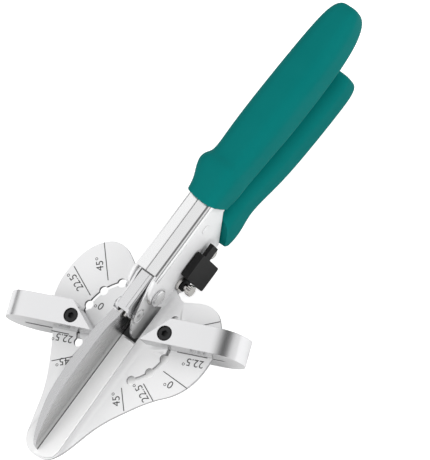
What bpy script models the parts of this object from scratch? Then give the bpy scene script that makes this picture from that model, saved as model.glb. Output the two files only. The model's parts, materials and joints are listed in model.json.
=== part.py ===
"""Mitre shears with a protractor table and two swinging fences.

Lengths are in metres. The model is drawn with the table level: X runs from the
nose to the handles, Y to the left wing, Z up, and X = 0 lies near the foot of
the blade. The finished assembly is then leant onto the two fences and the
lower grip, which is how the tool lies on a bench.
"""
import math

import bmesh
import bpy
from mathutils import Matrix, Vector

MM = 0.001

# Clearances shared by all pieces
CLEAR = 0.3 * MM
OVERRUN = 3.0 * MM
ROUND_SIDES = 24
ARC_STEPS = 6

# Table: a pressed plate with a low rib along the middle
plate_thick = 1.6 * MM
table_level = 4.4 * MM
nose_reach = 60.4 * MM
plate_half_width = 42.0 * MM
wing_reach = 37.8 * MM
wing_gap = 4.3 * MM
rib_height = 0.8 * MM
rib_half_rear = 8.0 * MM
rib_half_nose = 9.3 * MM
ramp_width_rear = 4.0 * MM
ramp_width_nose = 2.4 * MM

# Channel: the walls rise behind the table and fold over into the upper handle
channel_half = 6.6 * MM
channel_wall = 1.3 * MM
channel_top = 24.7 * MM
channel_corner = 2.0 * MM
channel_front = 33.6 * MM
channel_bend = 78.0 * MM
channel_reach = 150.0 * MM
channel_drop = 5.2 * MM
tang_depth = 10.5 * MM
skirt_depth = 5.4 * MM
skirt_front = 37.0 * MM
skirt_rear = 62.5 * MM
opening_front = 5.4 * MM
opening_half = 7.2 * MM

# Anvil strip on the rib
strip_thick = 1.0 * MM
strip_inset = 0.2 * MM
rivet_radius = 1.2 * MM
rivet_head_radius = 2.4 * MM
rivet_head_thick = 1.0 * MM
strip_skin = 0.35 * MM

# Main pivot
pivot_x = 27.0 * MM
pivot_z = 13.5 * MM
pivot_radius = 3.0 * MM
pivot_head_radius = 4.2 * MM
pivot_head_thick = 1.7 * MM
bushing_wall = 1.0 * MM

# Blade lever and its handle
lever_wall = 1.2 * MM
lever_reach = 145.0 * MM
lever_web_front = 40.0 * MM

# Blade, its holder and its screw
blade_thick = 1.2 * MM
blade_height = 18.0 * MM
blade_back_thick = 4.6 * MM
blade_length = 57.6 * MM
holder_wall = 1.2 * MM
holder_rear = 38.0 * MM
holder_front = 12.4 * MM
blade_screw_x = 15.5 * MM
blade_screw_z = 14.0 * MM
blade_screw_radius = 2.0 * MM
blade_head_radius = 3.2 * MM
blade_head_thick = 1.9 * MM
hex_depth = 1.2 * MM

# Grips
upper_grip_end = 181.6 * MM
lower_grip_end = 159.0 * MM
grip_width = 19.6 * MM
grip_depth = 22.5 * MM
lower_grip_width = 18.4 * MM
lower_grip_depth = 20.0 * MM
mouth_gap = 0.8 * MM

# Fences
fence_centre_x = 7.3 * MM
fence_centre_offset = 0.35 * MM
slot_radius = 22.95 * MM
detent_hole_radius = 2.2 * MM
slot_neck = 2.0 * MM
detent_step = math.radians(22.5)
fence_front = 4.65 * MM
fence_back = 7.1 * MM
fence_tip = 12.1 * MM
fence_rise = 12.0 * MM
fence_slot_margin = 7.0 * MM
fence_end_wall = 9.0 * MM
fence_screw_radius = 1.5 * MM
fence_screw_waist = 0.7 * MM
fence_head_radius = 3.1 * MM
fence_head_thick = 3.0 * MM
fence_nut_radius = 3.6 * MM
fence_nut_thick = 2.6 * MM

# Latch on the right wall
latch_x = 38.3 * MM
latch_z = 3.4 * MM
latch_thick = 2.4 * MM
latch_length = 12.7 * MM
latch_height = 23.6 * MM
latch_neck_length = 6.2 * MM
latch_neck_height = 6.1 * MM
latch_pin_radius = 1.5 * MM
latch_knob_radius = 2.6 * MM
latch_knob_thick = 2.6 * MM
latch_spacer_thick = 1.4 * MM
lock_pin_x = 57.7 * MM
lock_pin_z = -4.4 * MM
lock_pin_radius = 1.3 * MM
lock_head_radius = 2.5 * MM
lock_head_thick = 1.4 * MM

# Return spring between channel and lever
spring_x = 52.0 * MM
spring_radius = 2.9 * MM
spring_wire = 0.55 * MM
spring_turns = 9

# Sizes that follow from the ones above
strip_under = table_level + rib_height + CLEAR
strip_top = strip_under + strip_thick
channel_inner = channel_half - channel_wall
lever_half = channel_inner - CLEAR
lever_inner = lever_half - lever_wall
holder_half = lever_inner - CLEAR
holder_inner = holder_half - holder_wall
bushing_bore = pivot_radius + CLEAR
bushing_radius = bushing_bore + bushing_wall
edge_z = strip_top + CLEAR
sink_gap = 1.5 * CLEAR
ceiling_z = channel_top - channel_wall
lever_top = ceiling_z - CLEAR - CLEAR
fence_half_height = fence_rise + plate_thick / 2
slot_gap = plate_thick + CLEAR + CLEAR
fence_slot_reach = plate_half_width + fence_slot_margin
fence_reach = fence_slot_reach + fence_end_wall
wing_root = latch_x - latch_knob_radius - wing_gap
mitre = fence_tip + fence_front

# Outline of the table: ahead of X = 0 in shares of the nose's reach and the table's half
# width, then round the wings' rear in shares of their reach, then from their rear to their root
NOSE_OUTLINE_SHARES = (
    (-1.0, 0.0), (-0.992, 0.087), (-0.965, 0.16), (-0.92, 0.212), (-0.84, 0.258),
    (-0.72, 0.31), (-0.6, 0.362), (-0.465, 0.45), (-0.33, 0.565), (-0.257, 0.63),
    (-0.197, 0.693), (-0.137, 0.765), (-0.08, 0.842), (-0.013, 0.905))
WING_OUTLINE_SHARES = (
    (0.074, 0.943), (0.24, 0.98), (0.415, 0.985), (0.56, 0.972), (0.711, 0.935),
    (0.831, 0.875), (0.914, 0.81), (0.975, 0.735), (1.0, 0.63))
ROOT_OUTLINE_SHARES = ((0.85, 0.53), (0.52, 0.43), (0.19, 0.34), (0.0, 0.25), (0.0, 0.0))

# Front of the ear round the pivot, in shares of the pivot head's radius
EAR_SHARES = (
    (-0.52, -2.0), (-0.7, -1.3), (-0.82, -0.5), (-0.83, 0.2),
    (-0.74, 1.0), (-0.42, 1.7), (0.15, 2.2), (0.95, 2.6))

# Side of the lever in shares of its reach and of the channel's height
LEVER_FRONT_SHARES = (
    (0.0662, -0.057), (0.049, 0.109), (0.0455, 0.25), (0.058, 0.42), (0.078, 0.58),
    (0.102, 0.7), (0.135, 0.79), (0.179, 0.86))
LEVER_TOP_SHARES = ((0.359, 0.69), (0.428, 0.385), (0.497, 0.13), (0.641, -0.101), (1.0, -0.385))
LEVER_UNDER_SHARES = (
    (1.0, -0.749), (0.641, -0.445), (0.497, -0.344), (0.414, -0.316), (0.276, -0.255),
    (0.138, -0.17), (0.083, -0.113))

# Blade's back in shares of its exposed length and of its height, nose first
BLADE_BACK_SHARES = (
    (1.0, 0.0), (0.985, 0.22), (0.93, 0.4), (0.868, 0.53), (0.75, 0.73), (0.596, 0.91),
    (0.382, 0.995), (0.1, 1.0), (-0.05, 0.97), (-0.13, 0.87), (-0.2, 0.79), (-0.3, 0.77))

# Rings of the upper grip: shares of its end, width, depth, and centre height of channel_top
UPPER_GRIP_SHARES = (
    (0.393, 0.84, 0.82, 0.75), (0.431, 0.87, 0.86, 0.77), (0.453, 0.97, 0.95, 0.79),
    (0.475, 1.04, 1.01, 0.81), (0.5, 1.0, 0.96, 0.775), (0.525, 0.94, 0.91, 0.74),
    (0.586, 0.97, 0.96, 0.69), (0.646, 1.0, 1.0, 0.64), (0.724, 1.0, 1.0, 0.595),
    (0.84, 0.98, 0.98, 0.54), (0.912, 0.91, 0.9, 0.53), (0.95, 0.81, 0.82, 0.55),
    (0.979, 0.64, 0.67, 0.58), (0.994, 0.42, 0.45, 0.6), (1.0, 0.14, 0.16, 0.61))

# Rings of the lower grip, in the same four shares
LOWER_GRIP_SHARES = (
    (0.385, 0.9, 0.9, -0.02), (0.41, 0.99, 0.99, -0.07), (0.44, 1.06, 1.07, -0.13),
    (0.475, 1.02, 1.02, -0.145), (0.513, 0.94, 0.93, -0.15), (0.56, 0.95, 0.95, -0.2),
    (0.605, 0.98, 0.98, -0.26), (0.68, 1.0, 1.0, -0.37), (0.81, 1.0, 1.0, -0.47),
    (0.9, 1.0, 0.98, -0.54), (0.95, 0.96, 0.94, -0.57), (0.98, 0.86, 0.84, -0.58),
    (0.994, 0.7, 0.66, -0.585), (1.0, 0.5, 0.46, -0.59))


def clear_scene():
    for obj in list(bpy.data.objects):
        bpy.data.objects.remove(obj, do_unlink=True)


def make_collection(name):
    collection = bpy.data.collections.new(name)
    bpy.context.scene.collection.children.link(collection)
    return collection


def make_material(name, colour, metallic, roughness):
    material = bpy.data.materials.new(name)
    material.use_nodes = True
    shader = material.node_tree.nodes["Principled BSDF"]
    shader.inputs["Base Color"].default_value = (*colour, 1.0)
    shader.inputs["Metallic"].default_value = metallic
    shader.inputs["Roughness"].default_value = roughness
    material.diffuse_color = (*colour, 1.0)
    return material


clear_scene()
PARTS = make_collection("mitre_shears")
CUTTERS = make_collection("cutters")
REST = bpy.data.objects.new("rest_frame", None)
PARTS.objects.link(REST)

PLATE = make_material("satin_plate", (0.78, 0.78, 0.79), 0.9, 0.34)
CHROME = make_material("bright_steel", (0.86, 0.86, 0.87), 1.0, 0.12)
ALUMINIUM = make_material("aluminium", (0.82, 0.82, 0.83), 0.9, 0.28)
BLADE_STEEL = make_material("blade_steel", (0.3, 0.3, 0.31), 1.0, 0.2)
ANVIL = make_material("anvil", (0.75, 0.75, 0.75), 0.6, 0.4)
TEAL = make_material("teal_grip", (0.01, 0.17, 0.15), 0.0, 0.4)
BLACK_OXIDE = make_material("black_oxide", (0.02, 0.02, 0.022), 0.7, 0.35)
BLACK_PLASTIC = make_material("black_plastic", (0.02, 0.02, 0.02), 0.0, 0.5)
NICKEL = make_material("nickel", (0.75, 0.73, 0.7), 1.0, 0.22)


def add_object(name, mesh, collection, material=None):
    obj = bpy.data.objects.new(name, mesh)
    collection.objects.link(obj)
    obj.parent = REST
    if material:
        obj.data.materials.append(material)
    if collection is CUTTERS:
        obj.hide_render = True
        obj.display_type = "WIRE"
    return obj


def mesh_from_bmesh(name, bm):
    bmesh.ops.recalc_face_normals(bm, faces=bm.faces)
    mesh = bpy.data.meshes.new(name)
    bm.to_mesh(mesh)
    bm.free()
    return mesh


def outline_mesh(name, points, half_thick, matrix):
    """Flat outline as a filled 2D curve, thickened, then set in place by a matrix."""
    curve = bpy.data.curves.new(name, "CURVE")
    curve.dimensions = "2D"
    curve.fill_mode = "BOTH"
    curve.extrude = half_thick
    spline = curve.splines.new("POLY")
    spline.points.add(len(points) - 1)
    for point, (a, b) in zip(spline.points, points):
        point.co = (a, b, 0.0, 1.0)
    spline.use_cyclic_u = True
    guide = bpy.data.objects.new(name, curve)
    CUTTERS.objects.link(guide)
    depsgraph = bpy.context.evaluated_depsgraph_get()
    mesh = bpy.data.meshes.new_from_object(guide.evaluated_get(depsgraph))
    bpy.data.objects.remove(guide, do_unlink=True)
    bpy.data.curves.remove(curve)
    bm = bmesh.new()
    bm.from_mesh(mesh)
    bpy.data.meshes.remove(mesh)
    bmesh.ops.remove_doubles(bm, verts=bm.verts, dist=CLEAR / 300)
    bmesh.ops.dissolve_limit(
        bm, angle_limit=math.radians(0.5), verts=bm.verts, edges=bm.edges, delimit={"NORMAL"})
    bmesh.ops.transform(bm, matrix=matrix, verts=bm.verts)
    return bm


def side_plate(name, points, half_thick, collection, material=None, y=0.0, top_round=0.0):
    """Outline in X and Z, thickened along Y."""
    matrix = Matrix.Translation((0.0, y, 0.0)) @ Matrix.Rotation(math.radians(90.0), 4, "X")
    bm = outline_mesh(name, points, half_thick, matrix)
    if top_round:
        round_top(bm, half_thick, top_round)
    return add_object(name, mesh_from_bmesh(name, bm), collection, material)


def level_plate(name, points, z_low, z_high, collection, material=None):
    """Outline in X and Y, thickened between two heights."""
    matrix = Matrix.Translation((0.0, 0.0, (z_low + z_high) / 2))
    bm = outline_mesh(name, points, (z_high - z_low) / 2, matrix)
    return add_object(name, mesh_from_bmesh(name, bm), collection, material)


def round_top(bm, half_thick, radius):
    """Rounds the long upper edges of a side plate."""
    edges = []
    for edge in bm.edges:
        a, b = edge.verts
        along = abs(a.co.x - b.co.x) > 2 * radius
        flat = abs(a.co.y - b.co.y) < CLEAR
        upward = any(face.normal.z > math.cos(math.radians(30.0)) for face in edge.link_faces)
        outer = abs(abs(a.co.y) - half_thick) < CLEAR / 10
        if along and flat and upward and outer:
            edges.append(edge)
    bmesh.ops.bevel(
        bm, geom=edges, offset=radius, segments=4, profile=0.5, affect="EDGES")


def cylinder(name, centre, axis, radius, length, collection, material=None, sides=ROUND_SIDES,
             far_radius=None):
    """Cylinder or cone about a centre, along the letter of its axis."""
    bm = bmesh.new()
    far = radius if far_radius is None else far_radius
    bmesh.ops.create_cone(
        bm, cap_ends=True, segments=sides, radius1=radius, radius2=far, depth=length)
    turns = {"X": Matrix.Rotation(math.radians(90.0), 4, "Y"),
             "Y": Matrix.Rotation(math.radians(90.0), 4, "X"),
             "Z": Matrix.Identity(4)}
    bmesh.ops.transform(bm, matrix=Matrix.Translation(centre) @ turns[axis], verts=bm.verts)
    return add_object(name, mesh_from_bmesh(name, bm), collection, material)


def box(name, low, high, collection, material=None):
    bm = bmesh.new()
    bmesh.ops.create_cube(bm, size=1.0)
    size = Vector(high) - Vector(low)
    centre = (Vector(high) + Vector(low)) / 2
    bmesh.ops.transform(
        bm, matrix=Matrix.Translation(centre) @ Matrix.Diagonal((*size, 1.0)), verts=bm.verts)
    return add_object(name, mesh_from_bmesh(name, bm), collection, material)


def turned(name, profile, centre, turn, collection, material=None, sides=ROUND_SIDES):
    """Closed solid turned about Z from a profile of radius and height, top to bottom."""
    bm = bmesh.new()
    verts = [bm.verts.new((r, 0.0, z)) for r, z in profile]
    for a, b in zip(verts, verts[1:]):
        bm.edges.new((a, b))
    mesh = bpy.data.meshes.new(name)
    bm.to_mesh(mesh)
    bm.free()
    obj = add_object(name, mesh, collection, material)
    obj.matrix_local = Matrix.Translation(centre) @ turn
    screw = obj.modifiers.new("turn", "SCREW")
    screw.axis = "Z"
    screw.steps = sides
    screw.render_steps = sides
    screw.use_merge_vertices = True
    screw.merge_threshold = CLEAR / 10
    screw.use_smooth_shade = False
    return obj


def bake(obj):
    """Replaces an object's mesh by its evaluated one, in the assembly's own frame."""
    bpy.context.view_layer.update()
    depsgraph = bpy.context.evaluated_depsgraph_get()
    mesh = bpy.data.meshes.new_from_object(obj.evaluated_get(depsgraph))
    mesh.transform(obj.matrix_local)
    obj.modifiers.clear()
    obj.data = mesh
    obj.matrix_local = Matrix.Identity(4)
    return obj


def combine(obj, other, operation="DIFFERENCE"):
    modifier = obj.modifiers.new(other.name, "BOOLEAN")
    modifier.operation = operation
    modifier.object = other
    modifier.solver = "EXACT"
    return obj


def place(obj, matrix):
    obj.data.transform(matrix)
    return obj


def set_origin(obj, point):
    """Puts an object's origin on its joint's axis without moving its shape."""
    obj.data.transform(Matrix.Translation(-Vector(point)))
    obj.matrix_local = Matrix.Translation(point)


def smooth_line(points, steps, closed=False):
    """Points along a Catmull-Rom curve through the given ones."""
    result = []
    count = len(points)
    last = count if closed else count - 1
    for index in range(last):
        if closed:
            p = [points[(index + k) % count] for k in (-1, 0, 1, 2)]
        else:
            p = [points[min(max(index + k, 0), count - 1)] for k in (-1, 0, 1, 2)]
        for step in range(steps):
            t = step / steps
            result.append(tuple(
                0.5 * (2 * b + (c - a) * t + (2 * a - 5 * b + 4 * c - d) * t * t
                       + (3 * b - a - 3 * c + d) * t * t * t)
                for a, b, c, d in zip(*p)))
    if not closed:
        result.append(points[-1])
    return result


def plate_outline(inset=0.0):
    half = [(x * (nose_reach - inset), y * plate_half_width) for x, y in NOSE_OUTLINE_SHARES]
    half += [(x * wing_reach, y * plate_half_width) for x, y in WING_OUTLINE_SHARES]
    half += [(wing_root + x * (wing_reach - wing_root), y * plate_half_width)
             for x, y in ROOT_OUTLINE_SHARES]
    lobe = smooth_line(half[:-1], 2)
    left = lobe + [half[-1]]
    right = [(x, -y) for x, y in reversed(left[1:-1])]
    return left + right


def rib_half(x):
    """Half width of the rib, wider towards the nose."""
    share = (opening_front - x) / (opening_front + nose_reach)
    return rib_half_rear + (rib_half_nose - rib_half_rear) * share


def table_section(x):
    """Points across the table's upper face at one station, left to right."""
    share = min(max((opening_front - x) / (opening_front + nose_reach), 0.0), 1.0)
    half = rib_half(x) if x < opening_front else rib_half_rear
    ramp = ramp_width_rear + (ramp_width_nose - ramp_width_rear) * share
    bend = (ramp * ramp + rib_height * rib_height) / (2 * rib_height)
    side = [(plate_half_width + OVERRUN, 0.0)]
    for step in range(ARC_STEPS + 1):
        out = ramp * (1 - step / ARC_STEPS)
        height = bend - math.sqrt(bend * bend - (ramp - out) ** 2)
        side.append((half + out, height))
    return side + [(-y, z) for y, z in reversed(side)]


def wall_start():
    """Front end of the walls' foot, below the ear."""
    return pivot_x + EAR_SHARES[0][0] * pivot_head_radius


def table_sheet():
    """Pressed sheet of the table, drawn across and pulled from the nose to the rear."""
    stations = (-nose_reach - OVERRUN, opening_front, nose_reach)
    bm = bmesh.new()
    section = table_section(stations[0])
    verts = [bm.verts.new((stations[0], y, z)) for y, z in section]
    edges = [bm.edges.new(pair) for pair in zip(verts, verts[1:])]
    for x in stations[1:]:
        moved = bmesh.ops.extrude_edge_only(bm, edges=edges)["geom"]
        fresh = [item for item in moved if isinstance(item, bmesh.types.BMVert)]
        edges = [item for item in moved if isinstance(item, bmesh.types.BMEdge)
                 and all(vert in fresh for vert in item.verts)]
        fresh.sort(key=lambda vert: -vert.co.y)
        for vert, (y, z) in zip(fresh, table_section(x)):
            vert.co = (x, y, z)
    bmesh.ops.recalc_face_normals(bm, faces=bm.faces)
    if sum(face.normal.z for face in bm.faces) < 0:
        bmesh.ops.reverse_faces(bm, faces=bm.faces)
    mesh = bpy.data.meshes.new("table_sheet")
    bm.to_mesh(mesh)
    bm.free()
    obj = add_object("table_sheet", mesh, CUTTERS)
    solid = obj.modifiers.new("thickness", "SOLIDIFY")
    solid.thickness = plate_thick
    solid.offset = -1.0
    solid.use_even_offset = False
    outline = level_plate("table_outline", plate_outline(), -nose_reach, nose_reach, CUTTERS)
    combine(obj, outline, "INTERSECT")
    wall_half = channel_inner + channel_wall / 2
    wall_front = wall_start() + CLEAR
    for name, front, rear, half in (
            ("opening", opening_front, wall_front, opening_half),
            ("well", wall_front - CLEAR / 2, nose_reach, wall_half)):
        combine(obj, box(
            f"table_{name}", (front, -half, -nose_reach), (rear, half, nose_reach), CUTTERS))
    bake(obj)
    return place(obj, Matrix.Translation((0.0, 0.0, table_level)))


def channel_side():
    """Side view of the walls: rim, ear round the pivot, top, tang and skirt."""
    ear = [(pivot_x + a * pivot_head_radius, pivot_z + b * pivot_head_radius)
           for a, b in EAR_SHARES]
    ear = smooth_line(ear, 3)
    tang_top = channel_top - channel_drop
    slope_run = channel_bend - tang_depth / 3
    seam = table_level + rib_height - plate_thick / 2
    return ([(ear[0][0], seam)] + ear
            + [(ear[-1][0] + channel_corner, channel_top), (channel_bend, channel_top),
               (channel_reach, tang_top), (channel_reach, tang_top - tang_depth),
               (channel_bend, channel_top - 1.2 * tang_depth),
               (slope_run, channel_top - 1.3 * tang_depth),
               (skirt_rear, -skirt_depth), (skirt_front, -skirt_depth),
               (skirt_front - skirt_depth - plate_thick, seam)])


def channel_walls():
    obj = side_plate(
        "channel_walls", channel_side(), channel_half, CUTTERS, top_round=channel_corner)
    rear = channel_reach + OVERRUN
    hollow_side = [
        (0.0, -nose_reach), (0.0, ceiling_z), (channel_bend, ceiling_z),
        (rear, ceiling_z - channel_drop * (rear - channel_bend) / (channel_reach - channel_bend)),
        (rear, -nose_reach)]
    combine(obj, side_plate("channel_hollow", hollow_side, channel_inner, CUTTERS))
    mouth = box(
        "channel_mouth", (0.0, -channel_inner, pivot_z),
        (channel_front, channel_inner, channel_top + OVERRUN), CUTTERS)
    combine(obj, mouth)
    notch_top = lock_pin_z
    notch_half = lock_pin_radius + CLEAR + CLEAR
    notch = box(
        "lock_notch", (lock_pin_x - notch_half, -channel_half - OVERRUN, -nose_reach),
        (lock_pin_x + notch_half, -channel_inner + CLEAR, notch_top), CUTTERS)
    notch_round = cylinder(
        "lock_notch_round", (lock_pin_x, -channel_half, notch_top), "Y", notch_half,
        2 * channel_wall + CLEAR, CUTTERS)
    combine(obj, notch)
    combine(obj, notch_round)
    return bake(obj)


def detent_slot_points(side):
    """Scalloped slot: five round detents joined by a narrow neck, about the fence's centre."""
    centre = Vector((fence_centre_x, -side * fence_centre_offset))
    meet = math.acos(slot_neck / 2 / detent_hole_radius)
    outer = []
    inner = []
    for index in range(-2, 3):
        angle = index * detent_step
        radial = Vector((math.sin(angle), side * math.cos(angle)))
        across = Vector((math.cos(angle), -side * math.sin(angle)))
        hub = centre + radial * slot_radius
        low = -math.pi / 2 if index == -2 else -meet
        high = math.pi / 2 if index == 2 else meet
        for step in range(ARC_STEPS + 1):
            turn = low + (high - low) * step / ARC_STEPS
            outer.append(hub + detent_hole_radius * (
                radial * math.cos(turn) + across * math.sin(turn)))
            inner.append(hub + detent_hole_radius * (
                across * math.sin(turn) - radial * math.cos(turn)))
    loop = [tuple(p) for p in outer] + [tuple(p) for p in reversed(inner)]
    kept = [loop[0]]
    for point in loop[1:]:
        if (Vector(point) - Vector(kept[-1])).length > CLEAR / 10:
            kept.append(point)
    if (Vector(kept[0]) - Vector(kept[-1])).length < CLEAR / 10:
        kept.pop()
    return kept


def rivet_places():
    span = nose_reach + opening_front
    return [opening_front - span * share for share in (0.25, 0.53, 0.8)]


def body_frame():
    """Table, rib, walls and upper handle's channel: one pressed and folded steel part."""
    obj = table_sheet()
    obj.name = "body_frame"
    CUTTERS.objects.unlink(obj)
    PARTS.objects.link(obj)
    obj.hide_render = False
    obj.display_type = "TEXTURED"
    obj.data.materials.clear()
    obj.data.materials.append(PLATE)
    combine(obj, channel_walls(), "UNION")
    for side, label in ((1, "left"), (-1, "right")):
        slot = level_plate(
            f"{label}_detent_slot", detent_slot_points(side), table_level - OVERRUN,
            table_level + OVERRUN, CUTTERS)
        combine(obj, slot)
    for index, x in enumerate(rivet_places()):
        hole = cylinder(
            f"rib_rivet_hole_{index}", (x, 0.0, table_level), "Z", rivet_radius + CLEAR,
            2 * OVERRUN, CUTTERS)
        combine(obj, hole)
    bore = cylinder(
        "pivot_bore", (pivot_x, 0.0, pivot_z), "Y", pivot_radius + CLEAR,
        2 * channel_half + OVERRUN, CUTTERS)
    combine(obj, bore)
    latch_bore = cylinder(
        "latch_bore", (latch_x, -channel_half, latch_z), "Y", latch_pin_radius + CLEAR,
        2 * channel_wall + CLEAR, CUTTERS)
    combine(obj, latch_bore)
    return obj


def anvil_strip():
    """Flat land under the cutting edge, with blind rivet holes from below."""
    inset = strip_inset + CLEAR
    nose = [(x, y) for x, y in plate_outline(inset + inset) if x < -0.8 * nose_reach]
    left = []
    for x, y in nose:
        if 0 <= y < rib_half(x) - inset:
            left.append((x, y))
    left.sort(key=lambda point: point[1])
    shoulder = left[-1][0]
    half = left + [(shoulder + OVERRUN, rib_half(shoulder) - inset),
                   (opening_front - 2 * CLEAR, rib_half_rear - inset)]
    outline = [(x, -y) for x, y in reversed(half) if y > CLEAR] + half
    obj = level_plate("anvil_strip", outline, strip_under, strip_top, PARTS, ANVIL)
    for index, x in enumerate(rivet_places()):
        hole = cylinder(
            f"strip_rivet_hole_{index}", (x, 0.0, strip_under), "Z", rivet_radius + CLEAR,
            2 * (strip_thick - strip_skin), CUTTERS)
        combine(obj, hole)
    return obj


def anvil_rivets():
    rib_under = table_level + rib_height - plate_thick
    shank_top = strip_top - strip_skin - CLEAR
    head_top = rib_under - CLEAR
    made = []
    for index, x in enumerate(rivet_places()):
        profile = [
            (0.0, shank_top), (rivet_radius, shank_top), (rivet_radius, head_top),
            (rivet_head_radius, head_top), (rivet_head_radius, head_top - rivet_head_thick),
            (0.0, head_top - rivet_head_thick)]
        made.append(turned(
            f"anvil_rivet_{index + 1}", profile, (x, 0.0, 0.0), Matrix.Identity(4), PARTS, NICKEL,
            sides=16))
    return made


AXIS_RIGHT = Matrix.Rotation(math.radians(90.0), 4, "X")
AXIS_LEFT = Matrix.Rotation(math.radians(-90.0), 4, "X")


def lever_side():
    front = [(a * lever_reach, b * channel_top) for a, b in LEVER_FRONT_SHARES]
    top = [(a * lever_reach, b * channel_top) for a, b in LEVER_TOP_SHARES]
    under = [(a * lever_reach, b * channel_top) for a, b in LEVER_UNDER_SHARES]
    shoulder = [(channel_front - OVERRUN, lever_top), (channel_front + 2 * OVERRUN, lever_top)]
    return smooth_line(front, 2) + shoulder + top, under


def lever_frame():
    """Two side plates with a web underneath: blade carrier in front, tang behind."""
    upper, under = lever_side()
    obj = side_plate("lever_frame", upper + under, lever_half, PARTS, CHROME)
    floor = [(x, z + lever_wall) for x, z in under if x > lever_web_front - CLEAR]
    floor[0] = (lever_reach + OVERRUN, floor[0][1])
    hollow = ([(-OVERRUN, channel_top + OVERRUN), (lever_reach + OVERRUN, channel_top + OVERRUN)]
              + floor + [(lever_web_front, -channel_top), (-OVERRUN, -channel_top)])
    combine(obj, side_plate("lever_hollow", hollow, lever_inner, CUTTERS))
    combine(obj, cylinder(
        "lever_bore", (pivot_x, 0.0, pivot_z), "Y", bushing_radius + CLEAR,
        2 * lever_half + OVERRUN, CUTTERS))
    combine(obj, cylinder(
        "lever_screw_bore", (blade_screw_x, 0.0, blade_screw_z), "Y",
        blade_screw_radius + CLEAR, 2 * lever_half + OVERRUN, CUTTERS))
    sink = blade_head_radius - blade_screw_radius + CLEAR
    rim = blade_head_radius + sink_gap + CLEAR
    combine(obj, turned(
        "lever_screw_sink",
        [(0.0, lever_half + CLEAR), (rim, lever_half + CLEAR),
         (rim - sink - CLEAR, lever_half - sink), (0.0, lever_half - sink)],
        (blade_screw_x, 0.0, blade_screw_z), AXIS_RIGHT, CUTTERS))
    combine(obj, cylinder(
        "lever_lock_bore", (lock_pin_x, -lever_half, lock_pin_z), "Y",
        lock_pin_radius + CLEAR, 2 * lever_wall + CLEAR, CUTTERS, sides=16))
    return obj


def holder_floor():
    return pivot_z + bushing_radius + 2 * CLEAR


def blade_holder():
    """Folded cap that straddles the blade's tail between the lever's plates."""
    low = blade_screw_z - 2.4 * blade_head_radius
    rise = lever_top - holder_floor()
    rear_low = blade_screw_x + 1.9 * blade_head_radius
    side = [
        (holder_front + 0.2 * rise, low), (holder_front, lever_top - 0.75 * rise),
        (holder_front + 0.25 * rise, lever_top - 0.3 * rise),
        (holder_front + 0.7 * rise, lever_top), (holder_rear, lever_top),
        (holder_rear, holder_floor()), (rear_low + 0.5 * rise, holder_floor()),
        (rear_low, holder_floor() - 0.7 * rise), (rear_low, low)]
    obj = side_plate(
        "blade_holder", side, holder_half, PARTS, CHROME, top_round=0.6 * holder_wall)
    hollow = [
        (0.0, 0.0), (0.0, lever_top - holder_wall),
        (holder_rear + OVERRUN, lever_top - holder_wall), (holder_rear + OVERRUN, 0.0)]
    combine(obj, side_plate("holder_hollow", hollow, holder_inner, CUTTERS))
    combine(obj, cylinder(
        "holder_screw_bore", (blade_screw_x, 0.0, blade_screw_z), "Y",
        blade_screw_radius + CLEAR, 2 * lever_half, CUTTERS))
    return obj


def blade_wedge_rear():
    """Rear end of the thick back: it follows the lever's front and stops at the holder."""
    front = [(a * lever_reach, b * channel_top) for a, b in LEVER_FRONT_SHARES]
    step = 2 * CLEAR + CLEAR
    line = [(x - step, z) for x, z in front if edge_z < z and x < holder_front]
    foot = (line[0][0], edge_z - OVERRUN)
    stop = holder_front - 2 * CLEAR
    return [foot] + line + [(stop, line[-1][1] + (stop - line[-1][0])),
                            (stop, edge_z + blade_height + OVERRUN)]


def blade():
    """Hollow-backed blade: flat right face, wedge to the left, forked tail round the bushing."""
    back = [(-a * blade_length, edge_z + b * blade_height) for a, b in BLADE_BACK_SHARES]
    back = smooth_line(back, 2)
    fork_half = bushing_radius + CLEAR
    tail_top = back[-1][1]
    prong_short = pivot_x - 0.2 * bushing_radius
    prong_long = pivot_x + bushing_radius
    fork_end = pivot_x - bushing_radius - CLEAR
    heel = pivot_z - fork_half - 1.2 * blade_thick
    tail = [
        (prong_short - blade_thick, tail_top), (prong_short, tail_top - blade_thick),
        (prong_short, pivot_z + fork_half), (fork_end, pivot_z + fork_half),
        (fork_end, pivot_z - fork_half), (prong_long, pivot_z - fork_half),
        (prong_long, heel), (fork_end, heel), (fork_end - (heel - edge_z), edge_z)]
    right = blade_thick / 2
    left = blade_back_thick - right
    obj = side_plate(
        "blade", back + tail, blade_back_thick / 2, PARTS, BLADE_STEEL, y=left / 2 - right / 2)
    rear = blade_wedge_rear()
    tail_waste = rear + [(prong_long + OVERRUN, rear[-1][1]), (prong_long + OVERRUN, rear[0][1])]
    combine(obj, side_plate(
        "blade_tail_side", tail_waste, left, CUTTERS, y=right + left))
    slope = (left + right) / blade_height
    under = OVERRUN * slope
    wedge = side_plate(
        "blade_wedge_side",
        [(-right + CLEAR - under, edge_z - OVERRUN),
         (left + under, edge_z + blade_height + OVERRUN),
         (left + OVERRUN, edge_z + blade_height + OVERRUN), (left + OVERRUN, edge_z - OVERRUN)],
        blade_length, CUTTERS, y=blade_length - rear[0][0])
    combine(obj, place(wedge, Matrix.Rotation(math.radians(90.0), 4, "Z")))
    combine(obj, cylinder(
        "blade_screw_bore", (blade_screw_x, 0.0, blade_screw_z), "Y",
        blade_screw_radius + CLEAR, 2 * lever_half, CUTTERS))
    return obj


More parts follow.
